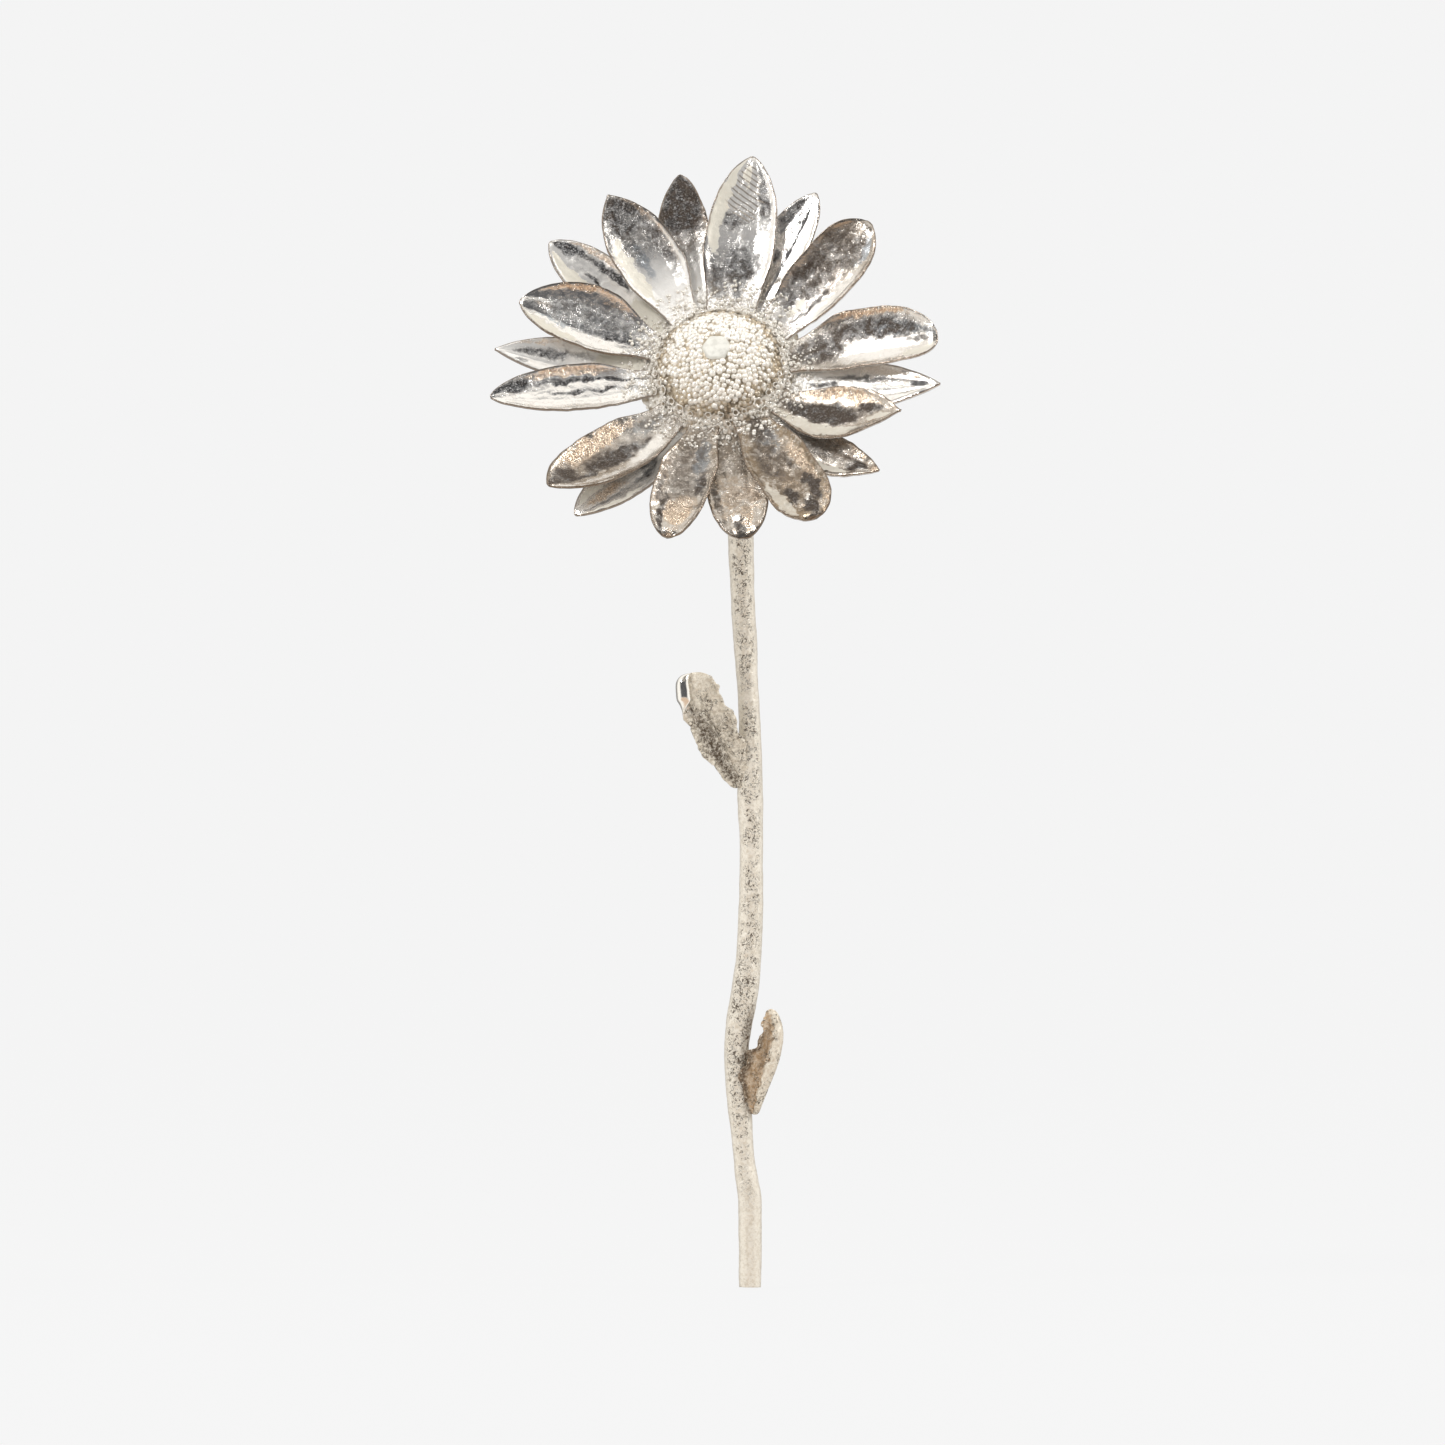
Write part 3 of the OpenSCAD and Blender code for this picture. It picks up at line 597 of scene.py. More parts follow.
def frosted_silver(name, light, shade, crack, metal=0.3, front=True):
    """Pale frosted silver with broken dark worm-like cracks, mostly down its front."""
    s = Shade(name)
    at = s.object_mm()
    grain = s.ramp(s.noise(at, 3.2, 4.0, 0.7), 0.36, 0.64)
    patch = s.noise(at, 0.7, 3.0, 0.65, 0.6)
    line = s.math("MAXIMUM", crackle(s, at, 0.45), crackle(s, s.stretched(at, (1, 1, 1), (7, 3, 5)), 0.8))
    zone = s.ramp(patch, 0.6 - 0.2 * crack, 0.7 - 0.2 * crack)
    brown = s.layer("brown")
    if front:
        split = s.add("ShaderNodeSeparateXYZ")
        s.link(at, split.inputs[0])
        zone = s.times(zone, s.ramp(split.outputs[1], -0.6, -1.05, 0.08, 1.0))
        zone = s.times(zone, s.ramp(split.outputs[2], 7, 14, 0.12, 1.0))
        zone = s.math("MAXIMUM", zone, s.times(brown, 0.8))
    line = s.times(line, zone)
    fleck = s.times(s.ramp(grain, 0.75, 1.0), s.times_plus(zone, 0.45, 0.05))
    tone = s.blend(grain, shade, light)
    tone = s.blend(s.times(brown, s.ramp(grain, 0.0, 1.0, 1.0, 0.3)), tone, (0.15, 0.1, 0.06))
    tone = s.blend(fleck, tone, GAP_BROWN)
    s.set("Base Color", s.blend(s.times(line, 0.92), tone, CRACK_BROWN))
    s.set("Metallic", metal)
    s.set("Roughness", s.ramp(grain, 0.0, 1.0, 0.3, 0.5))
    height = s.math("SUBTRACT", s.times(grain, 0.35), line)
    s.set("Normal", s.bump(height, 0.045))
    return s.material


def bead_silver(name, bright, hollow):
    """Creamy satin silver for the florets, browner in the gaps between them."""
    s = Shade(name)
    at = s.object_mm()
    grain = s.ramp(s.noise(at, 3.0, 3.0, 0.6), 0.36, 0.64)
    patch = s.ramp(s.noise(at, 0.6, 3.0, 0.6, 0.5), 0.4, 0.62)
    gap = s.ramp(s.times_plus(grain, 0.4, s.layer("gap")), 0.35, 1.15)
    tone = s.blend(grain, tuple(0.88 * c for c in bright), bright)
    # The colour of the gaps between the beads and of the beads' sides, darker in random patches.
    gap_colour = s.blend(s.times(patch, grain), hollow, tuple(0.3 * c for c in hollow))
    s.set("Base Color", s.blend(gap, tone, gap_colour))
    s.set("Metallic", 0.4)
    s.set("Roughness", s.ramp(grain, 0.0, 1.0, 0.22, 0.36))
    s.set("Normal", s.bump(grain, 0.02))
    return s.material


POLISHED = petal_silver("polished_silver_upper")
POLISHED_LOWER = petal_silver("polished_silver_lower", 3.7)
GAP_BROWN = (0.05, 0.038, 0.027)
CRACK_BROWN = (0.075, 0.05, 0.03)
STEM_SILVER = frosted_silver("frosted_silver_stem", (0.9, 0.84, 0.735), (0.72, 0.65, 0.54), 0.95)
CUP_SILVER = frosted_silver("frosted_silver_cup", (0.72, 0.67, 0.58), (0.5, 0.45, 0.37), 0.7, 0.6, False)
BEADS = bead_silver("frosted_silver_florets", (1.0, 0.96, 0.885), (0.5, 0.41, 0.29))
CRUST = bead_silver("frosted_silver_crust", (0.88, 0.84, 0.77), (0.42, 0.35, 0.26))

for petal_number, petal in enumerate(PETALS, 1):
    build_petal(petal_number, petal, POLISHED_LOWER if petal.layer else POLISHED)

# ---------------------------------------------------------------- florets


def ball_points(radius, rings, around):
    """Points and faces of a small ball, without a pole seam."""
    verts = [(0, 0, radius)]
    for i in range(1, rings):
        a = math.pi * i / rings
        for j in range(around):
            b = 2 * math.pi * (j + 0.5 * (i % 2)) / around
            verts.append((radius * math.sin(a) * math.cos(b), radius * math.sin(a) * math.sin(b),
                          radius * math.cos(a)))
    verts.append((0, 0, -radius))
    faces = [(0, 1 + j, 1 + (j + 1) % around) for j in range(around)]
    for i in range(rings - 2):
        for j in range(around):
            a, b = 1 + i * around + j, 1 + i * around + (j + 1) % around
            faces.append((a, a + around, b + around, b))
    last = len(verts) - 1
    base = 1 + (rings - 2) * around
    faces += [(last, base + (j + 1) % around, base + j) for j in range(around)]
    return verts, faces


BALL = ball_points(1.0, 8, 12)


class Cluster:
    """Many small bodies gathered in one mesh."""

    def __init__(self):
        self.verts, self.faces, self.gap = [], [], []

    def add(self, verts, faces, matrix, gap=0.0):
        base = len(self.verts)
        self.verts += [matrix @ Vector(v) for v in verts]
        self.faces += [tuple(base + i for i in f) for f in faces]
        self.gap += [gap(Vector(v)) if callable(gap) else gap for v in verts]


def on_dome(theta, turn, radius):
    """A matrix that stands something on the dome, theta from its apex, at a radius of the ball."""
    return (
        HEAD
        @ Matrix.Translation((0, 0, BALL_Z))
        @ Matrix.Rotation(turn, 4, "Z")
        @ Matrix.Rotation(theta, 4, "Y")
        @ Matrix.Translation((0, 0, radius))
    )


def dome_skin(cluster, near, far, sink, rings=26, around=110):
    """The skin of the dome between two angles from its apex, sunk below the ball."""
    verts = []
    for i in range(rings + 1):
        theta = math.radians(mix(near, far, i / rings))
        for j in range(around):
            turn = 2 * math.pi * j / around
            x, y, z = on_dome(theta, turn, BALL_R) @ Vector((0, 0, 0))
            deep = sink - 0.05 * wobble(x, y, z, 0.7, 2) - 0.03 * wobble(x, y, z, 0.35, 3)
            verts.append(on_dome(theta, turn, BALL_R - deep) @ Vector((0, 0, 0)))
    cluster.add(verts, skin_faces(rings, around), Matrix.Identity(4), 0.9)


def bead_gap(v):
    """A bead is lighter on top and darker down its sides."""
    return clamp(0.75 - 1.25 * v.z)


FLORETS = 560
FLORETS_FROM = 11.4  # degrees from the dome's apex
FLORETS_TO = 57
GOLDEN_ANGLE = 137.508


def build_florets():
    """Bead florets in a golden spiral, evenly spread over the dome."""
    rng = random.Random(11)
    cluster = Cluster()
    near = 1 - math.cos(math.radians(FLORETS_FROM))
    far = 1 - math.cos(math.radians(FLORETS_TO))
    for i in range(FLORETS):
        theta = math.acos(1 - mix(near, far, i / (FLORETS - 1)))
        loose = math.degrees(theta) / FLORETS_TO
        theta += math.radians(rng.uniform(-0.9, 0.9))
        turn = math.radians(GOLDEN_ANGLE * i)
        turn += rng.uniform(-0.12, 0.12) / (BALL_R * math.sin(max(0.12, theta)))
        size = rng.uniform(0.27, 0.4) * (1 if rng.random() > 0.12 else 0.7)
        wide = size * rng.uniform(0.9, 1.15)
        squash = Matrix.Diagonal((wide, size, size * rng.uniform(0.8, 1.1), 1))
        sink = 0.26 + 0.06 * rng.random() + 0.08 * loose
        ring = 0.75 * ease((math.degrees(theta) - 37 + rng.uniform(-7, 7)) / 16)
        ring += 0.3 * rng.random() ** 3
        cluster.add(*BALL, on_dome(theta, turn, BALL_R - sink) @ squash, lambda v: bead_gap(v) + ring)
    dome_skin(cluster, 10.0, 61, 0.24)
    obj = new_object("florets_beaded", cluster.verts, cluster.faces, BEADS, layers={"gap": cluster.gap})
    place(obj, "frosted_silver", "floret_cap")


EYE_R = 1.55
EYE_RINGS = 14
EYE_AROUND = 60


def eye_silver(name):
    """Smooth matte silver, slightly greenish, with a faint cloudiness."""
    s = Shade(name)
    at = s.object_mm()
    cloud = s.ramp(s.noise(at, 1.6, 3.0, 0.6), 0.36, 0.64)
    s.set("Base Color", s.blend(cloud, (0.62, 0.6, 0.535), (0.74, 0.72, 0.65)))
    s.set("Metallic", 0.08)
    s.set("Roughness", s.ramp(cloud, 0.0, 1.0, 0.42, 0.55))
    s.set("Normal", s.bump(cloud, 0.012))
    return s.material


def build_eye():
    """The smooth six-sided spot at the apex, a low pad with a soft edge."""
    verts, faces = [on_dome(0, 0, BALL_R + 0.02) @ Vector((0, 0, 0))], []
    for i in range(1, EYE_RINGS + 1):
        t = i / EYE_RINGS
        for j in range(EYE_AROUND):
            turn = 2 * math.pi * j / EYE_AROUND
            six = 1 + 0.06 * math.cos(6 * turn) + 0.06 * wobble(math.cos(turn), math.sin(turn), 0, 0.6, 8)
            r = EYE_R * t * mix(1, six, t)
            drop = 0.03 * t * t + 0.3 * ease((t - 0.8) / 0.2)
            x, y, z = on_dome(r / BALL_R, turn, BALL_R) @ Vector((0, 0, 0))
            drop -= 0.012 * wobble(x, y, z, 0.5, 5)
            verts.append(on_dome(r / BALL_R, turn, BALL_R + 0.02 - drop) @ Vector((0, 0, 0)))
    for j in range(EYE_AROUND):
        faces.append((0, 1 + j, 1 + (j + 1) % EYE_AROUND))
        for i in range(EYE_RINGS - 1):
            a, b = 1 + i * EYE_AROUND + j, 1 + i * EYE_AROUND + (j + 1) % EYE_AROUND
            faces.append((a, a + EYE_AROUND, b + EYE_AROUND, b))
    obj = new_object("floret_eye_pad", verts, faces, eye_silver("frosted_silver_eye"))
    place(obj, "frosted_silver", "floret_eye")


def open_floret(lobes, flare, phase):
    """An open floret: a short ragged cup with a hollow, about one unit in radius at its rim."""
    profile = ((0.55, -1.2, 0.9), (0.72, -0.4, 0.6), (0.98 * flare, 0.0, 0.15), (0.9 * flare, 0.1, 0.0),
               (0.68 * flare, 0.02, 0.3), (0.45, -0.35, 1.0), (0.05, -0.5, 1.0))
    around = 20
    verts, gaps = [], []
    for r, z, gap in profile:
        for j in range(around):
            a = 2 * math.pi * j / around
            ragged = wobble(math.cos(a), math.sin(a), 0, 0.55, phase)
            lobe = 1 + (0.07 * math.cos(lobes * a) + 0.26 * ragged) * ease(r)
            verts.append((r * lobe * math.cos(a), r * lobe * math.sin(a), z + 0.3 * ragged * ease(r)))
            gaps.append(gap)
    return verts, loop_faces(len(profile), around), gaps


# The web is a thin ragged skin that ties the dome's foot to the petals.
WEB_IN = 6.1
WEB_RINGS = 26
WEB_AROUND = 400
OPEN_FLORETS = 58
GRAINS = 1250
GRAINS_IN = 6.5


def web_reach(turn):
    """How far the web reaches out in one direction."""
    x, y = 4 * math.cos(turn), 4 * math.sin(turn)
    return 8.3 + 0.9 * wobble(x, y, 0, 1.3, 4) + 0.5 * wobble(x, y, 0, 0.5, 6)


def web_height(turn, r):
    """The height of the web, r millimetres from the head's axis in one direction."""
    t = clamp((r - WEB_IN) / (web_reach(turn) - WEB_IN))
    x, y = r * math.cos(turn), r * math.sin(turn)
    bumps = 0.16 * wobble(x, y, 0, 0.75, 7) + 0.1 * wobble(x, y, 0, 0.36, 9)
    return mix(0.95, -1.0, t**0.85) + bumps * ease(t / 0.2)


def ground(turn, r):
    """The height of the topmost petal or of the web near the disc, or None over a gap."""
    heights = [web_height(turn, r)] if r < web_reach(turn) else []
    for number, p in enumerate(PETALS, 1):
        local = turn - math.radians(p.angle)
        x, y = r * math.cos(local), r * math.sin(local)
        if x < 6:
            continue
        u = (x - CLAW_R) / (p.tip - CLAW_R)
        y -= p.bow * math.sin(math.pi * u)
        v = y / petal_half(p, x, u)[1]
        if abs(v) < 1:
            heights.append(petal_point(number, p, u, v, 1.0, 0.0)[2])
    return max(heights, default=None)


def build_crust():
    """Open florets round the foot of the dome, and the grainy crust that ties it to the petals."""
    rng = random.Random(5)
    cluster = Cluster()
    verts = []
    for i in range(WEB_RINGS + 1):
        for j in range(WEB_AROUND):
            turn = 2 * math.pi * j / WEB_AROUND
            r = mix(WEB_IN, web_reach(turn), i / WEB_RINGS)
            verts.append(HEAD @ Vector((r * math.cos(turn), r * math.sin(turn), web_height(turn, r))))
    faces = skin_faces(WEB_RINGS, WEB_AROUND)
    cluster.add(verts, faces, Matrix.Identity(4), lambda v: clamp(0.5 + 0.9 * wobble(*v, 0.5, 3)))
    for i in range(OPEN_FLORETS):
        turn = math.radians(360 * i / OPEN_FLORETS + rng.uniform(-4, 4))
        outer = i % 2
        theta = math.radians(mix(54, 61, outer) + rng.uniform(-1.5, 1.5))
        size = rng.uniform(0.28, 0.5)
        lean = Matrix.Rotation(math.radians(rng.uniform(-18, 12)), 4, "Y")
        spin = Matrix.Rotation(rng.uniform(0, 6.28), 4, "Z")
        stretch = Matrix.Diagonal((size, size * rng.uniform(0.8, 1.1), size * rng.uniform(0.9, 1.3), 1))
        verts, faces, gaps = open_floret(5, rng.uniform(0.9, 1.15), 3 * i)
        base = len(cluster.verts)
        cluster.add(verts, faces, on_dome(theta, turn, BALL_R + 0.12 + 0.2 * outer) @ lean @ spin @ stretch)
        cluster.gap[base:] = gaps
    for _ in range(GRAINS):
        turn = rng.uniform(0, 2 * math.pi)
        r = GRAINS_IN + 3.6 * rng.random() ** 1.7
        size = rng.uniform(0.06, 0.22) * (1.45 - 0.16 * (r - GRAINS_IN))
        twist = Euler((rng.uniform(0, 3), rng.uniform(0, 3), rng.uniform(0, 3))).to_matrix().to_4x4()
        stretch = Matrix.Diagonal((size, size * rng.uniform(0.6, 1.2), size * rng.uniform(0.5, 1.0), 1))
        gap = rng.uniform(0, 0.55) ** 2
        height = ground(turn, r)
        if height is None:
            continue
        at = HEAD @ Matrix.Translation((r * math.cos(turn), r * math.sin(turn), height + 0.25 * size))
        cluster.add(*NUGGET, at @ twist @ stretch, gap)
    obj = new_object("florets_open_crust", cluster.verts, cluster.faces, CRUST, layers={"gap": cluster.gap})
    place(obj, "frosted_silver", "open_florets")


NUGGET = ball_points(1.0, 5, 7)

build_florets()
build_eye()
build_crust()

# ---------------------------------------------------------------- stem

# The stem's line and thickness: height, sideways drift, radius.
STEM_LINE = [
    (0, 0, 1.13),
    (2.5, 0.03, 1.16),
    (5, 0.03, 1.19),
    (8.4, 0, 1.19),
    (9.4, -0.1, 1.19),
    (11, -0.35, 1.15),
    (13, -0.6, 1.05),
    (16, -0.85, 1.14),
    (19, -1.15, 1.2),
    (23, -1.35, 1.25),
    (26, -1.15, 1.32),
    (29.5, -0.55, 1.38),
    (33, -0.15, 1.28),
    (38, 0.1, 1.24),
    (44, 0.15, 1.18),
    (48, 0.05, 1.3),
    (51, 0, 1.28),
    (55, 0, 1.14),
    (60, -0.2, 1.08),
    (65, -0.5, 1.2),
    (70, -0.75, 1.22),
    (75, -0.9, 1.32),
    (78, -0.95, 1.3),
]
STEM_AROUND = 72
STEM_STEP = 0.16
STEM_ROW_STEPS = 40
BEND_STEPS = 120
BEND_PULL = 4.6


def along_rows(rows, t):
    """A smooth curve through the rows: row i at t = i."""
    last = len(rows) - 1
    i = min(last - 1, int(t))
    f = t - i
    a, b, c, d = (rows[max(0, min(last, k))] for k in (i - 1, i, i + 1, i + 2))
    return [
        0.5 * (2 * q + (r - p) * f + (2 * p - 5 * q + 4 * r - s) * f**2 + (3 * q - p - 3 * r + s) * f**3)
        for p, q, r, s in zip(a, b, c, d)
    ]


def stem_route():
    """Points of the stem's middle line with its radius, from the foot to the cup."""
    route = []
    rows = len(STEM_LINE) - 1
    for i in range(rows * STEM_ROW_STEPS + 1):
        z, x, r = along_rows(STEM_LINE, i / STEM_ROW_STEPS)
        route.append((Vector((x, 0, z)), r))
    axis = (HEAD.to_3x3() @ Vector((0, 0, 1))).normalized()
    neck = HEAD_CENTRE + axis * (CUP_TOP - CUP_DEPTH - 0.1)
    start = route[-1][0]
    a, b, c, d = start, start + Vector((0, 0, BEND_PULL)), neck - axis * BEND_PULL, neck
    for i in range(1, BEND_STEPS + 1):
        t = i / BEND_STEPS
        point = a * (1 - t) ** 3 + b * 3 * (1 - t) ** 2 * t + c * 3 * (1 - t) * t**2 + d * t**3
        route.append((point, mix(STEM_LINE[-1][2], CUP_BACK_R - 0.2, t)))
    return route


def evenly(route, step):
    """The same route, resampled at even steps."""
    out = [route[0]]
    left = step
    for (p, r), (q, s) in zip(route, route[1:]):
        length = (q - p).length
        at = left
        while at <= length:
            out.append((p.lerp(q, at / length), mix(r, s, at / length)))
            at += step
        left = at - length
    out.append(route[-1])
    return out


def build_stem():
    route = evenly(stem_route(), STEM_STEP)
    verts, brown = [], []
    last = len(route) - 1
    for i, (point, radius) in enumerate(route):
        ahead = (route[min(last, i + 1)][0] - route[max(0, i - 1)][0]).normalized()
        side = (Vector((1, 0, 0)) - ahead * ahead.x).normalized()
        front = ahead.cross(side)
        for j in range(STEM_AROUND):
            a = 2 * math.pi * j / STEM_AROUND
            out = math.cos(a) * side + math.sin(a) * front
            x, y, z = point + out * radius
            rough = 0.05 * wobble(x, y, z, 1.8, 1) + 0.02 * wobble(x, y, z, 0.6, 4)
            worm = 1 - clamp(abs(wobble(x, y, z, 0.75, 9)) * 8)
            busy = clamp(-out.y * 1.8 - 0.4) * ease((z - 5) / 8)
            rough += busy * (0.05 * wobble(x, y, z, 0.4, 12) - 0.06 * worm)
            ridge = 0.012 * math.sin(9 * a + 0.6 * wobble(0, 0, z, 3, 2))
            verts.append(point + out * (radius + rough + ridge - 0.02))
            clasped = ease((z - 16.5) / 1.5) * ease((29.5 - z) / 3)
            clasped *= ease((0.9 - abs(out.x - 0.75)) / 0.5 - 0.6)
            brown.append(clasped * ease(-out.y * 3) * clamp(0.9 + 0.6 * wobble(x, y, z, 0.6, 3)))
    faces = loop_faces(last + 1, STEM_AROUND)
    obj = new_object("stem_cast", verts, faces, STEM_SILVER, layers={"brown": brown})
    place(obj, "frosted_silver", "stem")


build_stem()

# ---------------------------------------------------------------- stem leaves

# Rows along a leaf: the place of its middle line, half-width, how far it folds, how far it turns.
UPPER_LEAF = [
    (-0.9, -0.5, 50.2, 0.7, 0.1, 0),
    (-2.3, -0.9, 53, 1.5, 0.5, 0),
    (-3.75, -1.1, 56, 1.95, 0.6, 0.1),
    (-5, -1.2, 58.6, 2.1, 0.4, 0.2),
    (-5.55, -1.2, 60.4, 1.85, 0.2, 0.3),
    (-5.75, -1.1, 61.6, 1.3, 0, 0),
]
LOWER_LEAF = [
    (0.35, -0.4, 17.3, 0.4, 0.2, 0),
    (0.85, -0.7, 19.8, 1, 0.8, 0),
    (1.75, -0.7, 22.8, 1.35, 1.1, 0.1),
    (2.35, -0.6, 25.2, 1.15, 0.9, 0.2),
    (2.2, -0.5, 27, 0.8, 0.5, 0.2),
    (1.85, -0.5, 27.8, 0.3, 0.1, 0),
]
LEAF_STEPS = 110
LEAF_ACROSS = 44
LEAF_NUBS = 22


def roll(start, ahead, radius, angle):
    """A point on a margin that rolls towards the viewer from a place on a leaf's section."""
    (a, o), (ta, to) = start, ahead
    sweep, lift = radius * math.sin(angle), radius * (1 - math.cos(angle))
    return a + ta * sweep - to * lift, o + to * sweep + ta * lift


def upper_section(v, s, half, fold, turn):
    """Across and out offsets of the upper leaf's middle surface."""
    side = math.copysign(3, v)
    ragged = 0.22 * wobble(13 * s, side, 0, 1.2, 2) + 0.09 * wobble(13 * s, side, 0, 0.4, 5)
    tooth = 1 + ragged * abs(v) ** 3 * (1 - ease((s - 0.6) / 0.2))
    clasp = 1 + 0.3 * ease(s / 0.15) * ease((0.5 - s) / 0.1) if v > 0 else 1

    def flat(w):
        crease = 0.34 * bell(w, 0.12, 0.13) * ease((0.72 - s) / 0.25) * ease(s / 0.15)
        ridge = 0.2 * bell(w, -0.22, 0.16) * ease((0.6 - s) / 0.3)
        return half * w * tooth * clasp, fold * abs(w) ** 1.5 + turn * w**3 - crease + ridge

    rolled = ease((s - 0.46) / 0.24)
    if v < -0.62 and rolled > 0:
        along = (-v - 0.62) / 0.38
        start = flat(-0.62)
        curl = roll((-start[0], start[1]), (1, 0.0), 0.3 * half, along * rolled * math.radians(235))
        plain = flat(v)
        return mix(plain[0], -curl[0], rolled), mix(plain[1], curl[1], rolled)
    return flat(v)


def lower_section(v, s, half, fold, turn):
    """Across and out offsets of the lower leaf: a trough whose right margin rolls over."""
    tooth = 1 + (0.35 * wobble(11 * s, 0, 0, 1.1, 4) + 0.2 * wobble(11 * s, 0, 0, 0.5, 6)) * abs(v) ** 3

    def flat(w):
        rib = 0.22 * bell(w, 0.1, 0.14) * ease(s / 0.3)
        clasp = tooth * (1 + 0.6 * ease(s / 0.08) * ease((0.46 - s) / 0.06)) if w < 0 else 1
        return half * w * clasp, fold * abs(w) ** 1.5 + turn * w**3 + rib - 0.25

    if v > 0.55:
        along = (v - 0.55) / 0.45
        ragged = 1 + 0.12 * math.sin(43 * s) + 0.1 * math.sin(71 * s + 1)
        return roll(flat(0.55), (0.8, 0.6), 0.36 * half, along * math.radians(190) * ragged)
    return flat(v)


def leaf_tones(v, s, lower):
    """How brown, how polished and how dark along its creases the leaf's face is."""
    if lower:
        seam = 0.9 * bell(v, 0.56, 0.06) + bell(v, -0.93, 0.2) * ease((0.8 - s) / 0.3)
        rib = 0.55 * bell(v, 0.12, 0.14) * ease(s / 0.4)
        return (1 - ease((v - 0.52) / 0.1)) * (1 - 0.6 * rib), 0.0, clamp(seam)
    brown = 1.15 * bell(v, -0.45, 0.42) * ease((0.66 - s) / 0.25) * ease(s / 0.05)
    brown += 0.25 * bell(v, 0.55, 0.4) * ease((0.6 - s) / 0.2)
    brown -= 0.8 * ease((s - 0.64) / 0.1)
    shine = ease((s - 0.52) / 0.12) * ease((-v - 0.6 + 0.1 * (1 - s)) / 0.06)
    crease = bell(v, 0.12, 0.09) * ease((0.72 - s) / 0.25)
    seam = bell(v, -0.54, 0.055) * ease((s - 0.5) / 0.08)
    return brown, shine, clamp(crease + seam)


def build_leaf(name, node, rows, section, thick, lower, material):
    last = len(rows) - 1
    verts, layers = [], {"brown": [], "polish": [], "seam": []}
    marks = [crowded(-1 + 2 * j / LEAF_ACROSS, 0.7) for j in range(LEAF_ACROSS + 1)]
    for i in range(LEAF_STEPS + 1):
        s = i / LEAF_STEPS
        x, y, z, half, fold, turn = along_rows(rows, last * s)
        before, after = (Vector(along_rows(rows, clamp(last * s + d, 0, last))[:3]) for d in (-0.06, 0.06))
        ahead = (after - before).normalized()
        across = ahead.cross(Vector((0, -1, 0))).normalized()
        out = across.cross(ahead)
        close = math.sqrt(max(0.0, 1 - (max(0, s - 0.84) / 0.16) ** 2))
        close *= math.sqrt(max(0.0, 1 - (max(0, 0.06 - s) / 0.06) ** 2))
        half = max(0.05, half * mix(0.1, 1, close))
        line = [section(v, s, half, fold * close, turn * close) for v in marks]
        middle = Vector((x, y, z))

        def add(a, o, v, face):
            point = middle + across * a + out * o
            grain = 0.06 * wobble(*point, 0.7, 3) + 0.045 * wobble(*point, 0.33, 6)
            brown, shine, seam = leaf_tones(v, s, lower)
            if face < 0:
                brown, seam = 0.1, 0.0
            point += out * grain * face * (1 - shine) + across * 0.4 * grain * (1 - shine)
            verts.append(point)
            for key, value in zip(layers, (brown, shine, seam)):
                layers[key].append(value)

        tangents = []
        for j in range(len(line)):
            (a0, o0), (a1, o1) = line[max(0, j - 1)], line[min(len(line) - 1, j + 1)]
            length = math.hypot(a1 - a0, o1 - o0) or 1.0
            tangents.append(((a1 - a0) / length, (o1 - o0) / length))
        deep = [thick / 2 * mix(1, 0.36, abs(v) ** 1.3) * mix(0.5, 1, close) for v in marks]
        places = list(zip(line, tangents, marks, deep))

        def round_margin(end, way):
            """Goes round a margin: way is 1 from face to back, -1 from back to face."""
            (a, o), (ta, to), _, d = places[end]
            for k in (1, 2, 3):
                c, e = way * d * math.cos(math.pi * k / 4), way * d * math.sin(math.pi * k / 4)
                add(a - to * c + ta * e, o + ta * c + to * e, way, 1.0)

        for (a, o), (ta, to), v, d in places:
            add(a - to * d, o + ta * d, v, 1.0)
        round_margin(-1, 1)
        for (a, o), (ta, to), v, d in reversed(places):
            add(a + to * d, o - ta * d, v, -1.0)
        round_margin(0, -1)
    around = len(verts) // (LEAF_STEPS + 1)
    faces = loop_faces(LEAF_STEPS + 1, around)
    rng = random.Random(len(name))
    for k in range(LEAF_NUBS):
        row = int(mix(0.08, 0.9, (k + rng.random()) / LEAF_NUBS) * LEAF_STEPS) * around
        rim = 0 if k % 2 else LEAF_ACROSS
        size = rng.uniform(0.14, 0.32) * (0.4 if lower else 1.0)
        centre, base = verts[row + rim], len(verts)
        verts += [centre + size * Vector(v) for v in NUGGET[0]]
        faces += [tuple(base + i for i in f) for f in NUGGET[1]]
        for key in layers:
            layers[key] += [0.0] * len(NUGGET[0])
    obj = new_object(name, verts, faces, material, layers=layers)
    place(obj, "frosted_silver", node)


